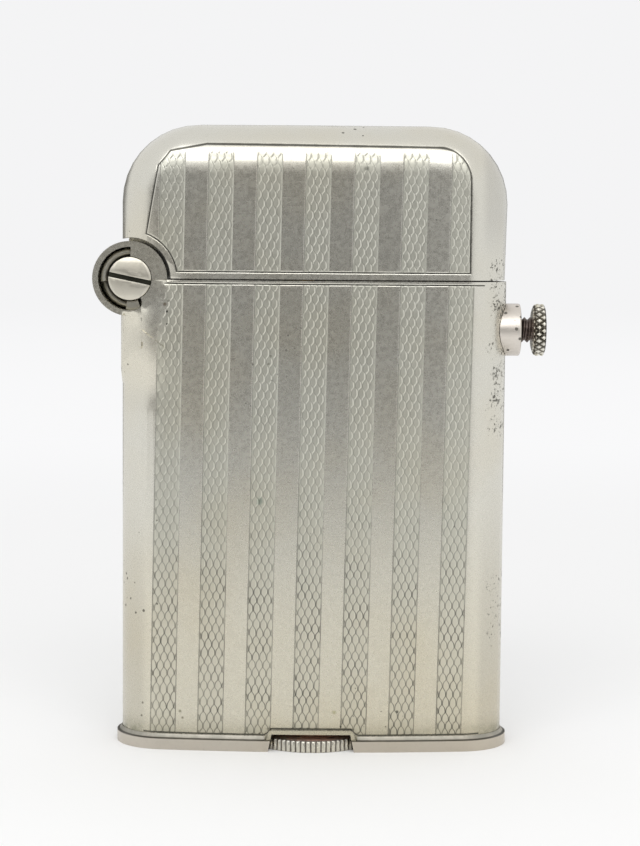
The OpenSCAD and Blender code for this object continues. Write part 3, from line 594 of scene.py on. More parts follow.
def turned_brass(name, tint, dull):
    """Lathe-turned brass with tarnish clouds."""
    finish = Finish(name)
    cloud = finish.noise(0.35, 4.0, 0.6)
    rings = finish.noise(3.2, 2.0, 0.5, finish.stretched(0.25, 0.25, 3.0))
    colour = finish.blend(cloud.step(0.4, 0.75, 0.0, 0.7), tint, dull)
    return finish.close(colour, cloud.step(0.35, 0.75, 0.22, 0.46), rings * 0.006)


def machined_steel(name, tint, dull, rough_low, rough_high):
    """Steel with fine machining lines and rust-brown haze."""
    finish = Finish(name)
    cloud = finish.noise(0.6, 4.0, 0.6)
    grain = finish.noise(5.0, 3.0, 0.6, finish.stretched(1.0, 0.3, 1.0))
    colour = finish.blend(cloud.step(0.42, 0.78, 0.0, 0.8), tint, dull)
    return finish.close(colour, grain.step(0.3, 0.75, rough_low, rough_high), grain * 0.008)


def rough_flint(name, tint):
    """Pressed flint with a coarse grain."""
    finish = Finish(name)
    grain = finish.noise(4.0, 5.0, 0.7)
    colour = finish.blend(grain, shade(tint, 0.6), shade(tint, 1.5))
    return finish.close(colour, grain.step(0.3, 0.7, 0.55, 0.8), grain * 0.05, 0.75)


def cotton_fibre(name, tint, soot_from=None):
    """Loose cotton, with a scorched tip where the flame burns."""
    finish = Finish(name)
    fibre = finish.noise(6.0, 5.0, 0.7, finish.stretched(1.0, 1.0, 0.35))
    colour = finish.blend(fibre, shade(tint, 0.72), [min(1.0, c * 1.08) for c in tint])
    if soot_from is not None:
        burnt = (finish.z + fibre).step(soot_from + 0.1, soot_from + 0.9)
        colour = finish.blend(burnt, colour, (0.035, 0.028, 0.024))
    finish.shader.inputs["Sheen Weight"].default_value = 0.35
    return finish.close(colour, 0.92, fibre * 0.09, 0.0)


def oiled_leather(name, tint):
    """Oiled leather with a fine cell grain."""
    finish = Finish(name)
    grain = finish.cells(3.0)
    colour = finish.blend(grain.step(0.1, 0.7), shade(tint, 1.2), shade(tint, 0.7))
    return finish.close(colour, grain.step(0.0, 0.8, 0.5, 0.72), grain * 0.03, 0.0)


# Pieces

def object_of(name, shape, *materials):
    """Makes an object of a finished bmesh."""
    mesh = bpy.data.meshes.new(name)
    shape.to_mesh(mesh)
    shape.free()
    for material in materials:
        mesh.materials.append(material)
    made = bpy.data.objects.new(name, mesh)
    bpy.context.scene.collection.objects.link(made)
    return made


def new_piece(name, shape, look, node, smooth=32.0):
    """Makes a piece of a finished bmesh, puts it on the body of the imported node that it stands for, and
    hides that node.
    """
    piece = object_of(name, shape, finish_named(look))
    piece.data.shade_smooth()
    piece.data.set_sharp_from_angle(angle=math.radians(smooth))
    even = piece.modifiers.new("even_shading", "WEIGHTED_NORMAL")
    even.keep_sharp = True
    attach(piece, frame["nodes"][node]["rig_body"])
    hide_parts(node)
    return piece


def in_order(shape):
    """Sorts a mesh's parts by their corners' places, so that each run goes through them alike."""
    for parts in (shape.verts, shape.edges, shape.faces):
        parts.index_update()
        corners = [sorted(v.co[:] for v in getattr(part, "verts", (part,))) for part in parts]
        order = sorted(range(len(corners)), key=corners.__getitem__)
        rank = {index: place for place, index in enumerate(order)}
        parts.sort(key=lambda part: rank[part.index])
        parts.index_update()


def merged(node):
    """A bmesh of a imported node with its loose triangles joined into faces."""
    shape = bmesh.new()
    shape.from_mesh(frame["nodes"][node].data)
    bmesh.ops.remove_doubles(shape, verts=shape.verts, dist=0.002 * MM)
    bmesh.ops.dissolve_limit(shape, angle_limit=math.radians(0.5), verts=shape.verts, edges=shape.edges,
                             use_dissolve_boundaries=False)
    return shape


def split_wide_faces(shape):
    """Cuts the faces with more than four corners into triangles."""
    bmesh.ops.triangulate(shape, faces=[f for f in shape.faces if len(f.verts) > 4])


def break_edges(shape, reach):
    """Rounds the sharp edges of a shape."""
    limit = math.radians(EDGE_ANGLE)
    sharp = [e for e in shape.edges if len(e.link_faces) == 2 and e.calc_face_angle(0.0) > limit
             and e.calc_length() > 2.5 * reach * MM]
    if sharp:
        bmesh.ops.bevel(shape, geom=sharp, offset=reach * MM, offset_type="OFFSET", affect="EDGES",
                        segments=2, profile=0.5, material=-1, clamp_overlap=True)
    split_wide_faces(shape)


def dressed(node, name, look, reach, smooth=32.0):
    """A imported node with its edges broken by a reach, if any, and its faces smoothed up to an angle."""
    shape = merged(node)
    if reach:
        break_edges(shape, reach)
    return new_piece(name, shape, look, node, smooth)


def ramp(value, low, high):
    """Smooth step of a plain number."""
    share = min(1.0, max(0.0, (value - low) / (high - low)))
    return share * share * (3 - 2 * share)


def ear_share(x, z):
    """How far a point of the front belongs to the soft zone under the ear."""
    from_screw = ramp(math.hypot(x - HINGE_X, z - HINGE_Z), *SOFT_ROUND)
    sides = ramp(x, *SOFT_LEFT) * ramp(x, *SOFT_RIGHT)
    return sides * ramp(z, *SOFT_BOTTOM) * ramp(z, *SOFT_TOP) * from_screw


def in_ear_zone(point):
    """Whether a point in metres lies on the front, in the soft zone under the ear."""
    x, y, z = (v / MM for v in point)
    return y < -1.0 and ear_share(x, z) > 0


def front_depth(shape, corner, step, across, along):
    """The front's depth on a grid under the ear, smoothed where its share of the soft zone is high."""
    tree = BVHTree.FromBMesh(shape)
    depth = np.full((across, along), np.nan)
    share = np.zeros((across, along))
    rounds = 320
    for i in range(across):
        for j in range(along):
            x, z = corner.x + step * i, corner.y + step * j
            hit = tree.ray_cast(Vector((x, -10, z)) * MM, Vector((0, 1, 0)))[0]
            if hit is not None and hit.y < -0.5 * MM:
                depth[i, j] = hit.y / MM
                share[i, j] = ear_share(x, z)
    for _ in range(rounds):
        total = np.zeros_like(depth)
        for turn in ((1, 0), (-1, 0), (0, 1), (0, -1)):
            beside = np.roll(depth, turn, (0, 1))
            total += np.where(np.isnan(beside), depth, beside)
        depth = np.where(share > 0, depth + share * (total / 4 - depth), depth)
    return depth


def fine_ear_mesh(shape):
    """Cuts the faces of the soft zone small enough to bend."""
    longest = 0.24 * MM
    for _ in range(6):
        bmesh.ops.triangulate(shape, faces=[
            f for f in shape.faces if len(f.verts) > 3
            and (in_ear_zone(f.calc_center_median()) or any(in_ear_zone(v.co) for v in f.verts))])
        coarse = []
        for edge in shape.edges:
            start, end = (v.co for v in edge.verts)
            middle = (start + end) / 2
            if edge.calc_length() > longest and any(in_ear_zone(p) for p in (start, end, middle)):
                coarse.append(edge)
        bmesh.ops.subdivide_edges(shape, edges=coarse, cuts=1)
    split_wide_faces(shape)
    in_order(shape)
    shape.normal_update()


def soft_ear(shape):
    """Lets the front ear flow into the rounded side without creases, by smoothing the front's depth."""
    corner = Vector((-17.6, 30.5))
    step = 0.1
    across, along = 59, 124
    level = front_depth(shape, corner, step, across, along)
    fine_ear_mesh(shape)
    loose = [v for v in shape.verts if in_ear_zone(v.co) and v.normal.y < 0.1 and v.normal.z < 0.8]
    for vert in loose:
        x, y, z = (v / MM for v in vert.co)
        i, j = (x - corner.x) / step, (z - corner.y) / step
        i0, j0 = min(across - 2, int(i)), min(along - 2, int(j))
        u, v = i - i0, j - j0
        patch = level[i0:i0 + 2, j0:j0 + 2]
        if np.isnan(patch).any():
            continue
        smooth = ((patch[0, 0] * (1 - u) + patch[1, 0] * u) * (1 - v)
                  + (patch[0, 1] * (1 - u) + patch[1, 1] * u) * v)
        if abs(smooth - y) < 1.2:
            vert.co.y = smooth * MM
    bmesh.ops.remove_doubles(shape, verts=loose, dist=0.04 * MM)
    in_order(shape)
    bmesh.ops.dissolve_degenerate(shape, dist=0.002 * MM, edges=shape.edges)


def worn_corner(shape):
    """The lid's edge over the button, rubbed back by a small step."""
    for _ in range(3):
        rim = [e for e in shape.edges if e.calc_length() > 0.4 * MM
               and all(v.co.x > (RUBBED_X - 0.7) * MM and v.co.z < (RUBBED_Z + 2.4) * MM for v in e.verts)]
        bmesh.ops.subdivide_edges(shape, edges=rim, cuts=1)
        split_wide_faces(shape)
    for vert in shape.verts:
        x, y, z = (v / MM for v in vert.co)
        if x > RUBBED_X and z < RUBBED_Z:
            down = min(1.0, max(0.0, (RUBBED_Z - 0.1 - z) / 0.5))
            wander = noise.noise(Vector((x, y, z)) * 1.7)
            vert.co.x -= (RUBBED_DEPTH * down + RUBBED_WANDER * wander) * MM


def spun_along(shape, centre, axis, length, degrees, steps):
    """Spins all that a shape has about an axis while it moves along that axis, as a coil or a twist."""
    bmesh.ops.spin(shape, geom=shape.verts[:] + shape.edges[:], cent=centre * MM, axis=axis,
                   dvec=Vector(axis) * (length / steps * MM), angle=math.radians(degrees), steps=steps,
                   use_merge=False, use_duplicate=False)


def lid_spring_coil():
    """The lid's round wire spun along its coil, with rounded ends."""
    wire_r, coil_r, pitch, turns = 0.335, 2.38, 1.14, 1.66
    start = math.radians(186)
    axis = Vector((0, 1, 0))
    out = Vector((math.cos(start), 0, math.sin(start))).normalized()
    centre = Vector((HINGE_X, box_mm("lid_spring")[0][1] + 0.34, HINGE_Z))
    shape = bmesh.new()
    ring = bmesh.ops.create_circle(shape, cap_ends=False, radius=wire_r * MM, segments=16)["verts"]
    turn = Matrix((out, axis, axis.cross(out))).transposed().to_4x4()
    bmesh.ops.transform(shape, verts=ring, matrix=Matrix.Translation((centre + out * coil_r) * MM) @ turn)
    spun_along(shape, centre, axis, pitch * turns, 360 * turns, int(48 * turns))
    rims = [e for e in shape.edges if e.is_boundary]
    caps = bmesh.ops.holes_fill(shape, edges=rims, sides=0)["faces"]
    bmesh.ops.inset_region(shape, faces=caps, thickness=wire_r * 0.35 * MM, depth=wire_r * 0.3 * MM)
    bmesh.ops.recalc_face_normals(shape, faces=shape.faces)
    new_piece("lid_spring_wire", shape, "spring", "lid_spring", 50.0)


def fluffed(node, name, look, voxel, depth):
    """A soft node with a lumpy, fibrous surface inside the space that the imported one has."""
    rough = object_of("rough_" + name, merged(node))
    mesh = rough.data
    remesh = rough.modifiers.new("even_grid", "REMESH")
    remesh.mode = "VOXEL"
    remesh.voxel_size = voxel * MM
    shape = bmesh.new()
    shape.from_object(rough, bpy.context.evaluated_depsgraph_get())
    bpy.data.objects.remove(rough)
    bpy.data.meshes.remove(mesh)
    shape.normal_update()
    moved = []
    for vert in shape.verts:
        place = vert.co / MM
        lump = 0.5 + 0.5 * noise.noise(place * 0.55)
        tuft = 0.5 + 0.5 * noise.noise(place * 2.3 + Vector((7, 3, 1)))
        moved.append(vert.co - vert.normal * (0.08 + 0.65 * lump + 0.27 * tuft) * depth * MM)
    for vert, place in zip(shape.verts, moved):
        vert.co = place
    return new_piece(name, shape, look, node, 180.0)


def twisted_wick():
    """Four cotton strands twisted round each other, frayed at the tip."""
    low, high = (Vector(corner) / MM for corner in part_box("wick"))
    centre = (low + high) / 2
    reach = (high.x - low.x) / 2
    length = high.z - low.z
    strand, out = reach * 0.43, reach * 0.56
    twist, layer, frayed = 5.5, 0.25, 0.5
    shape = bmesh.new()
    for index in range(4):
        turn = math.radians(90 * index)
        place = Vector((centre.x + out * math.cos(turn), centre.y + out * math.sin(turn), low.z))
        bmesh.ops.create_circle(shape, cap_ends=False, radius=strand * MM, segments=12,
                                matrix=Matrix.Translation(place * MM))
    spun_along(shape, centre, (0, 0, 1), length, length / twist * 360, int(length / layer))
    bmesh.ops.holes_fill(shape, edges=[e for e in shape.edges if e.is_boundary], sides=0)
    for vert in shape.verts:
        x, y, z = (v / MM for v in vert.co)
        fray = max(0.0, (z - high.z + frayed) / frayed)
        vert.co.z -= fray * (0.12 + 0.12 * noise.noise(Vector((x, y, z)) * 3.0)) * MM
        vert.co.x += (centre.x - x) * 0.2 * fray * MM
        vert.co.y += (centre.y - y) * 0.2 * fray * MM
    bmesh.ops.recalc_face_normals(shape, faces=shape.faces)
    new_piece("cotton_wick", shape, "wick", "wick", 60.0)


def lathed(shape, profile, centre_z, steps):
    """Spins a profile of (along X, radius) points about the button's axis."""
    verts = [shape.verts.new(Vector((x, 0, centre_z + radius)) * MM) for x, radius in profile]
    edges = [shape.edges.new(pair) for pair in zip(verts, verts[1:])]
    bmesh.ops.spin(shape, geom=verts + edges, cent=Vector((0, 0, centre_z)) * MM, axis=(1, 0, 0),
                   angle=math.radians(360), steps=steps, use_merge=True)


def cut_round(shape, verts, centre_z, inner, radius_at):
    """Gives points outside the inner radius a new one, by their place along X, turn and old radius."""
    for vert in verts:
        x, y, z = (v / MM for v in vert.co)
        up = z - centre_z
        radius = math.hypot(y, up)
        if radius < inner:
            continue
        share = radius_at(x, math.atan2(y, up) / (2 * math.pi), radius) / radius
        vert.co.y = y * share * MM
        vert.co.z = (centre_z + up * share) * MM
    bmesh.ops.remove_doubles(shape, verts=shape.verts, dist=0.0005 * MM)
    bmesh.ops.recalc_face_normals(shape, faces=shape.faces)


def crossed_knob(ridges):
    """The knob, with two families of grooves crossing on its rim."""
    low, high = box_mm("button_knob")
    x0, x1 = low[0], high[0]
    outer = (high[2] - low[2]) / 2
    centre_z = (low[2] + high[2]) / 2
    rim0, rim1 = x0 + 0.26, x1 - 0.16
    across = 20
    profile = [(x0, 0.0), (x0, outer - 0.62), (x0 + 0.05, outer - 0.46), (x0 + 0.14, outer - 0.2)]
    profile += [(rim0 + (rim1 - rim0) * i / across, outer) for i in range(across + 1)]
    profile += [(x1 - 0.07, outer - 0.13), (x1 - 0.02, outer - 0.3), (x1, outer - 0.45), (x1, 0.0)]
    pitch, depth, crown = 0.86, 0.23, 0.25

    def knurl(x, turn, radius):
        around = ridges * turn
        along = (x - x0 - 0.1) / pitch
        cut = max(abs((around + sign * along) % 1.0 - 0.5) * 2 for sign in (-1, 1))
        return radius - depth * max(0.0, (cut - crown) / (1 - crown))

    shape = bmesh.new()
    lathed(shape, profile, centre_z, ridges * 10)
    cut_round(shape, shape.verts, centre_z, outer - 0.28, knurl)
    return shape


def threaded_stem():
    """The button's stem, with a helical thread where it shows between collar and knob."""
    low, high = box_mm("button_stem")
    centre_z = (low[2] + high[2]) / 2
    x0 = box_mm("button_collar")[1][0] - 0.35
    x1 = high[0] - 0.02
    crest, root, pitch = 1.185, 0.96, 0.52
    shape = merged("button_stem")
    everything = shape.verts[:] + shape.edges[:] + shape.faces[:]
    cut = bmesh.ops.bisect_plane(shape, geom=everything, dist=0.0001 * MM, clear_outer=True,
                                 plane_co=Vector((x0 + 0.05, 0, 0)) * MM, plane_no=(1, 0, 0))
    rim = [e for e in cut["geom_cut"] if isinstance(e, bmesh.types.BMEdge)]
    bmesh.ops.holes_fill(shape, edges=rim, sides=0)
    plain = set(shape.verts)
    along = 56
    profile = [(x0, 0.0)] + [(x0 + (x1 - x0) * i / along, root) for i in range(along + 1)] + [(x1, 0.0)]
    lathed(shape, profile, centre_z, 60)

    def thread(x, turn, radius):
        wave = ((x - x0) / pitch - turn) % 1.0
        rise = max(0.0, 1 - abs(wave - 0.5) * 2.4)
        held = min(1.0, max(0.0, (x1 - 0.5 - x) / 0.2))
        return root + (crest - root) * rise * held

    cut_round(shape, [v for v in shape.verts if v not in plain], centre_z, 0.5, thread)
    return shape


# Sizes and colours that a user would change

def length_property(name, description, default, **limits):
    """A length of the PropertyGroups, its default and limits in millimetres."""
    limits = {key: value * MM for key, value in limits.items()}
    return bpy.props.FloatProperty(
        name=name, description=description, default=default * MM, precision=5, unit="LENGTH", **limits)


def colour_property(name, description, default):
    """A colour of the PropertyGroups."""
    return bpy.props.FloatVectorProperty(
        name=name, description=description, default=default, subtype="COLOR", size=3, min=0, max=1)


class LighterSizes(bpy.types.PropertyGroup):
    edge_break: length_property(
        "Edge break", "Rounding of the sheet metal's edges", 0.05, min=0.0, soft_max=0.2)
    band_pitch: length_property("Band pitch", "Distance from one engraved band to the next", 4.37, min=3.0)
    band_width: length_property("Band width", "Width of one engraved band", 2.3, min=1.0)
    wave_length: length_property("Wave length", "Length of one wave of the engraved lines", 1.5, min=0.5)
    line_width: length_property("Line width", "Width of one engraved line", 0.12, min=0.02)
    line_depth: length_property("Line depth", "Depth of one engraved line", 0.05, min=0.0)
    knurl_ridges: bpy.props.IntProperty(
        name="Knurl ridges", description="Ridges round the button's knob", default=22, min=8, max=48)


class LighterColours(bpy.types.PropertyGroup):
    nickel: colour_property("Nickel", "Worn nickel plate", (0.7, 0.685, 0.615))
    bright: colour_property("Bright nickel", "Nickel on screw, collar and knob", (0.78, 0.755, 0.67))
    tarnish: colour_property("Tarnish", "Dirt and tarnish in lines and corners", (0.34, 0.33, 0.28))
    copper: colour_property("Copper", "Copper under the worn plate", (0.95, 0.68, 0.57))
    brass: colour_property("Brass", "Inner brass pieces", (0.72, 0.53, 0.25))
    steel: colour_property("Steel", "Wheel, springs and pins", (0.5, 0.5, 0.5))
    dark_steel: colour_property("Dark steel", "Button stem", (0.16, 0.13, 0.12))
    cotton: colour_property("Cotton", "Wick and wadding", (0.86, 0.82, 0.72))
    leather: colour_property("Leather", "Washer and snuffer pad", (0.28, 0.15, 0.08))
    flint: colour_property("Flint", "Flint stone", (0.12, 0.11, 0.105))


class LighterStage(bpy.types.PropertyGroup):
    background: colour_property("Background", "Paper behind the lighter", (0.905, 0.905, 0.912))
    floor: colour_property("Floor", "Paper that the lighter stands on", (0.93, 0.93, 0.93))
    room: bpy.props.FloatProperty(
        name="Room", description="Brightness of the dim room in front and behind, seen in the metal",
        default=0.2, min=0, max=1, subtype="FACTOR")
    soft_light: bpy.props.FloatProperty(
        name="Soft light", description="Strength of the soft box above the front", default=1.0, min=0, max=4)


GROUPS = {"lighter_sizes": LighterSizes, "lighter_colours": LighterColours, "lighter_stage": LighterStage}


def finish_named(name):
    """One of the lighter's finishes, made on its first use."""
    label = "lighter_" + name
    if label in bpy.data.materials:
        return bpy.data.materials[label]
    sizes, colours = bpy.context.scene.lighter_sizes, bpy.context.scene.lighter_colours
    tarnish = colours.tarnish
    makers = {
        "case": lambda: engraved_nickel(label, case_panel, colours, sizes),
        "lid": lambda: engraved_nickel(label, lid_panel, colours, sizes),
        "nickel": lambda: plain_nickel(label, colours.nickel, tarnish),
        "foot": lambda: foot_nickel(label, colours),
        "screw": lambda: slotted_nickel(label, colours),
        "knurl": lambda: knurled_nickel(label, colours),
        "spring": lambda: plain_nickel(label, shade(colours.nickel, 0.5), tarnish, 0.4, 0.5, 0.1),
        "collar": lambda: plain_nickel(label, shade(colours.bright, 0.9, 0.87, 0.9), tarnish,
                                       0.36, 0.46, 0.24),
        # Brass darkened almost to black, for the bush inside the ear
        "darkened_brass": lambda: turned_brass(label, (0.2, 0.18, 0.15), (0.12, 0.11, 0.1)),
        "wheel": lambda: worn_wheel_metal(label, colours),
        "brass": lambda: turned_brass(label, colours.brass, shade(colours.brass, 0.55)),
        "steel": lambda: machined_steel(label, colours.steel, (0.33, 0.28, 0.24), 0.25, 0.5),
        "dark": lambda: machined_steel(label, colours.dark_steel, (0.1, 0.07, 0.06), 0.3, 0.5),
        "flint": lambda: rough_flint(label, colours.flint),
        "wadding": lambda: cotton_fibre(label, colours.cotton),
        "wick": lambda: cotton_fibre(label, colours.cotton, 46.2),
        "leather": lambda: oiled_leather(label, colours.leather),
    }
    return makers[name]()


# Operators

class LIGHTER_OT_shells(bpy.types.Operator):
    """Dress the body, the lid and the base in engraved and plain nickel"""
    bl_idname = "lighter.shells"
    bl_label = "Body, lid and base"

    def execute(self, context):
        reach = context.scene.lighter_sizes.edge_break / MM
        for node, name, look, worn in (("case_shell", "body_shell", "case", soft_ear),
                                       ("lid_shell", "lid_cover", "lid", worn_corner)):
            shape = merged(node)
            break_edges(shape, reach)
            worn(shape)
            new_piece(name, shape, look, node, 20.0)
        dressed("base_plate", "foot_flange", "foot", reach, 50.0)
        return {"FINISHED"}


class LIGHTER_OT_hinge(bpy.types.Operator):
    """Make the hinge screw, the lid's spring and their small pieces"""
    bl_idname = "lighter.hinge"
    bl_label = "Hinge and lid spring"

    def execute(self, context):
        dressed("hinge_screw", "slotted_screw", "screw", 0.04, 25.0)
        dressed("spring_stop", "spring_block", "spring", 0.05)
        dressed("hinge_knuckle", "lid_knuckle", "nickel", 0.05)
        dressed("hinge_bush", "knuckle_bush", "darkened_brass", 0.03)
        lid_spring_coil()
        return {"FINISHED"}


class LIGHTER_OT_button(bpy.types.Operator):
    """Make the push-button with its knurled knob, stem and collar"""
    bl_idname = "lighter.button"
    bl_label = "Push-button"

    def execute(self, context):
        dressed("button_collar", "button_ring", "collar", 0.05)
        knob = crossed_knob(context.scene.lighter_sizes.knurl_ridges)
        new_piece("knurled_knob", knob, "knurl", "button_knob", 26.0)
        new_piece("threaded_stem", threaded_stem(), "dark", "button_stem", 50.0)
        dressed("stem_clip", "stem_ring", "steel", 0.02)
        return {"FINISHED"}


class LIGHTER_OT_filler(bpy.types.Operator):
    """Make the knurled filler screw, its washer and its neck"""
    bl_idname = "lighter.filler"
    bl_label = "Filler screw"

    def execute(self, context):
        dressed("filler_screw", "filler_wheel", "wheel", 0.0, 40.0)
        dressed("filler_gasket", "filler_washer", "leather", 0.05)
        dressed("filler_neck", "threaded_neck", "brass", 0.05)
        return {"FINISHED"}


class LIGHTER_OT_works(bpy.types.Operator):
    """Make the spark wheel, its bracket and the flint column"""
    bl_idname = "lighter.works"
    bl_label = "Spark works"

    def execute(self, context):
        dressed("spark_wheel", "toothed_wheel", "steel", 0.0, 25.0)
        dressed("ratchet_wheel", "ratchet_disc", "steel", 0.02, 25.0)
        dressed("drive_pawl", "ratchet_pawl", "steel", 0.03)
        dressed("wheel_bracket", "wheel_fork", "nickel", 0.04)
        dressed("bracket_screws", "fork_screws", "steel", 0.02)
        dressed("wheel_axle", "wheel_pin", "steel", 0.05)
        dressed("pawl_pin", "pawl_stud", "steel", 0.04)
        dressed("flint", "flint_stick", "flint", 0.08)
        dressed("flint_follower", "flint_plug", "brass", 0.06)
        spring = dressed("flint_spring", "flint_spring_wire", "steel", 0.0, 75.0)
        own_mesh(spring)
        dressed("flint_tube", "flint_guide", "brass", 0.04)
        dressed("flint_screw", "flint_plug_screw", "brass", 0.04)
        return {"FINISHED"}


class LIGHTER_OT_burner(bpy.types.Operator):
    """Make the burner tube, the wick, the wadding, the deck and the snuffer"""
    bl_idname = "lighter.burner"
    bl_label = "Burner and tank"

    def execute(self, context):
        dressed("deck_plate", "tank_deck", "brass", 0.04)
        dressed("latch_housing", "latch_walls", "brass", 0.03)
        dressed("wick_tube", "burner_tube", "brass", 0.05)
        twisted_wick()
        fluffed("tank_wadding", "cotton_filling", "wadding", 0.4, 0.3)
        dressed("snuffer_cap", "flame_cap", "brass", 0.05)
        dressed("snuffer_post", "cap_post", "brass", 0.05)
        fluffed("snuffer_pad", "cap_pad", "leather", 0.1, 0.08)
        return {"FINISHED"}


class LIGHTER_OT_latch(bpy.types.Operator):
    """Make the catch lever, its pin and spring, and the lid's hooked blade"""
    bl_idname = "lighter.latch"
    bl_label = "Latch"

    def execute(self, context):
        dressed("latch_lever", "catch_lever", "steel", 0.05)
        dressed("latch_pin", "lever_pin", "steel", 0.04)
        spring = dressed("latch_spring", "lever_spring_wire", "steel", 0.0, 75.0)
        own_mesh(spring)
        dressed("lid_catch", "catch_blade", "steel", 0.04)
        return {"FINISHED"}


# Stage, in metres

def flat_card(name, centre, across, up, material):
    """A flat rectangle about a centre."""
    shape = bmesh.new()
    verts = bmesh.ops.create_grid(shape, x_segments=1, y_segments=1, size=0.5)["verts"]
    across = Vector(across)
    up = Vector(up)
    turn = Matrix((across, up, across.cross(up).normalized())).transposed().to_4x4()
    bmesh.ops.transform(shape, verts=verts, matrix=Matrix.Translation(centre) @ turn)
    card = object_of(name, shape, material)
    return card


def soft_box(name, place, target, size, radiance):
    """A rectangular lamp that shows the given brightness to the metal."""
    lamp = bpy.data.lights.new(name, "AREA")
    lamp.shape = "RECTANGLE"
    lamp.size, lamp.size_y = size
    lamp.energy = radiance * math.pi * size[0] * size[1]
    holder = bpy.data.objects.new(name, lamp)
    bpy.context.scene.collection.objects.link(holder)
    holder.location = place
    holder.rotation_euler = (Vector(target) - Vector(place)).to_track_quat("-Z", "Y").to_euler()


def paper_material(stage):
    """White paper near the lighter that fades into the background further off."""
    material = bpy.data.materials.new("floor_paper")
    nodes = Shading(material)
    length = nodes.node("ShaderNodeVectorMath", operation="LENGTH")
    nodes.join(nodes.node("ShaderNodeTexCoord").outputs["Object"], length.inputs[0])
    far = Value(nodes, length.outputs["Value"])
    tone = nodes.blend(far.step(0.25, 1.3), shade(stage.background, 1.045), stage.background)
    paper = nodes.coloured("ShaderNodeBsdfDiffuse", stage.floor)
    glow = nodes.coloured("ShaderNodeEmission", tone)
    output = nodes.node("ShaderNodeOutputMaterial")
    nodes.join(nodes.mixed(far.step(0.07, 0.3), paper, glow), output.inputs["Surface"])
    return material


def reflection_card_material(stage):
    """Glow of the cards that paint a dim room's reflection in the faces: pale again at both sides, and wider
    on the hinge's upper side.
    """
    material = bpy.data.materials.new("dim_room")
    nodes = Shading(material)
    x, _, z = nodes.axes(nodes.node("ShaderNodeTexCoord").outputs["Object"])
    narrow = abs(x).step(0.07, 0.115)
    wide = abs(x).step(0.13, 0.29)
    hinge_side = z.step(0.022, 0.036) * x.step(0.01, -0.01)
    pale = narrow + (wide - narrow) * hinge_side
    tone = nodes.blend(pale, shade((stage.room,) * 3, 1.0, 0.985, 0.96), stage.background)
    output = nodes.node("ShaderNodeOutputMaterial")
    nodes.join(nodes.coloured("ShaderNodeEmission", tone), output.inputs["Surface"])
    return material


def studio_world(stage):
    """A plain world that lights evenly, and shows the background to the camera, metal and glass."""
    world = bpy.data.worlds.new("studio_world")
    nodes = Shading(world)
    path = nodes.node("ShaderNodeLightPath")
    camera, glossy, through = (Value(nodes, path.outputs["Is %s Ray" % kind])
                               for kind in ("Camera", "Glossy", "Transmission"))
    light = nodes.coloured("ShaderNodeBackground", (0.86, 0.86, 0.86))
    seen = nodes.coloured("ShaderNodeBackground", stage.background)
    output = nodes.node("ShaderNodeOutputWorld")
    nodes.join(nodes.mixed(camera.most(glossy).most(through), light, seen), output.inputs["Surface"])
    return world


def photo_camera():
    """The camera where the photograph was taken from."""
    camera = bpy.data.cameras.new("photo_camera")
    camera.sensor_fit = "HORIZONTAL"
    camera.sensor_width = 36
    camera.lens = CAMERA_LENS
    camera.clip_start = 0.01
    camera.clip_end = 10
    holder = bpy.data.objects.new("photo_camera", camera)
    bpy.context.scene.collection.objects.link(holder)
    holder.matrix_world = (Matrix.Translation(CAMERA_PLACE)
                           @ Matrix.Rotation(math.radians(90 - CAMERA_DOWN), 4, "X")
                           @ Matrix.Rotation(math.radians(CAMERA_ROLL), 4, "Z"))
    return holder


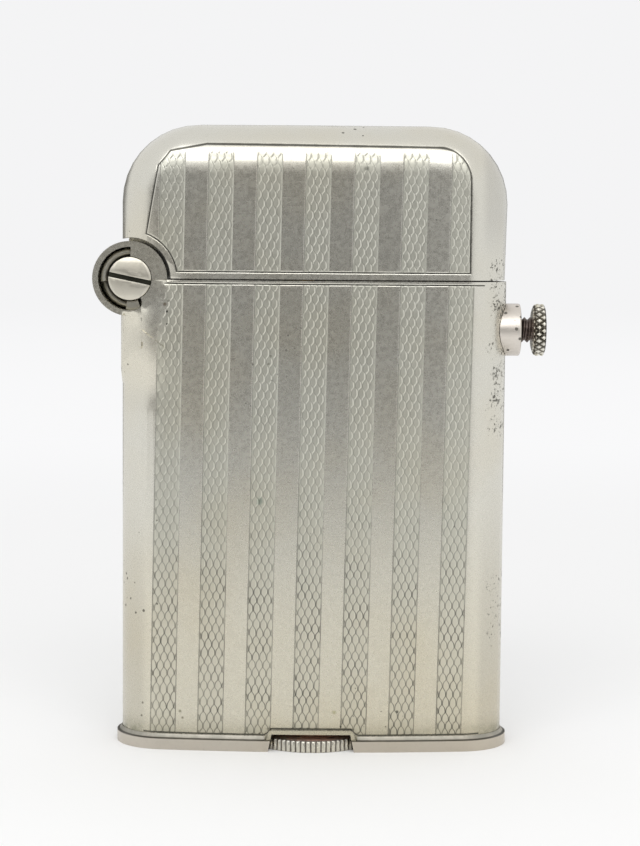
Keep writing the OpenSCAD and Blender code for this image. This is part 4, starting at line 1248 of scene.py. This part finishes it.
class LIGHTER_OT_studio(bpy.types.Operator):
    """Set the camera, the pale paper, the soft lamp and the glowing cards that paint a dim room's reflection
    in the metal
    """
    bl_idname = "lighter.studio"
    bl_label = "Studio"

    def execute(self, context):
        scene = context.scene
        stage = scene.lighter_stage
        scene.view_settings.view_transform = "Standard"
        flat_card("paper_floor", (0, 0, 0), (PAPER_SIDE, 0, 0), (0, PAPER_SIDE, 0), paper_material(stage))
        room = reflection_card_material(stage)
        # Glowing cards seen only in the metal: a painted reflection of a dim room
        for name, y in (("front", -ROOM_AWAY), ("back", ROOM_AWAY)):
            middle = (0, y, ROOM_MIDDLE_Z)
            card = flat_card("dim_room_" + name, middle, (ROOM_WIDTH, 0, 0), (0, 0, ROOM_HEIGHT), room)
            for rays in ("camera", "diffuse", "shadow", "transmission"):
                setattr(card, "visible_" + rays, False)
        soft_box("front_softbox", BOX_PLACE, BOX_TARGET, BOX_SIZE, BOX_RADIANCE * stage.soft_light)
        scene.world = studio_world(stage)
        scene.camera = photo_camera()
        return {"FINISHED"}


class LIGHTER_PT_panel(bpy.types.Panel):
    bl_label = "Pocket lighter"
    bl_idname = "LIGHTER_PT_panel"
    bl_space_type = "VIEW_3D"
    bl_region_type = "UI"
    bl_category = "Lighter"

    def draw(self, context):
        column = self.layout.column(align=True)
        for operator in OPERATORS:
            column.operator(operator.bl_idname)
        for name in GROUPS:
            group = getattr(context.scene, name)
            box = self.layout.box()
            for key in group.__annotations__:
                box.prop(group, key)


OPERATORS = (LIGHTER_OT_shells, LIGHTER_OT_hinge, LIGHTER_OT_button, LIGHTER_OT_filler, LIGHTER_OT_works,
             LIGHTER_OT_burner, LIGHTER_OT_latch, LIGHTER_OT_studio)
CLASSES = (*GROUPS.values(), *OPERATORS, LIGHTER_PT_panel)


def register():
    for item in CLASSES:
        bpy.utils.register_class(item)
    for name, group in GROUPS.items():
        setattr(bpy.types.Scene, name, bpy.props.PointerProperty(type=group))


def unregister():
    for name in GROUPS:
        delattr(bpy.types.Scene, name)
    for item in reversed(CLASSES):
        bpy.utils.unregister_class(item)


def main():
    register()
    bpy.ops.lighter.shells()
    bpy.ops.lighter.hinge()
    bpy.ops.lighter.button()
    bpy.ops.lighter.filler()
    bpy.ops.lighter.works()
    bpy.ops.lighter.burner()
    bpy.ops.lighter.latch()
    bpy.ops.lighter.studio()
    bpy.context.view_layer.update()


if __name__ == "__main__":
    main()
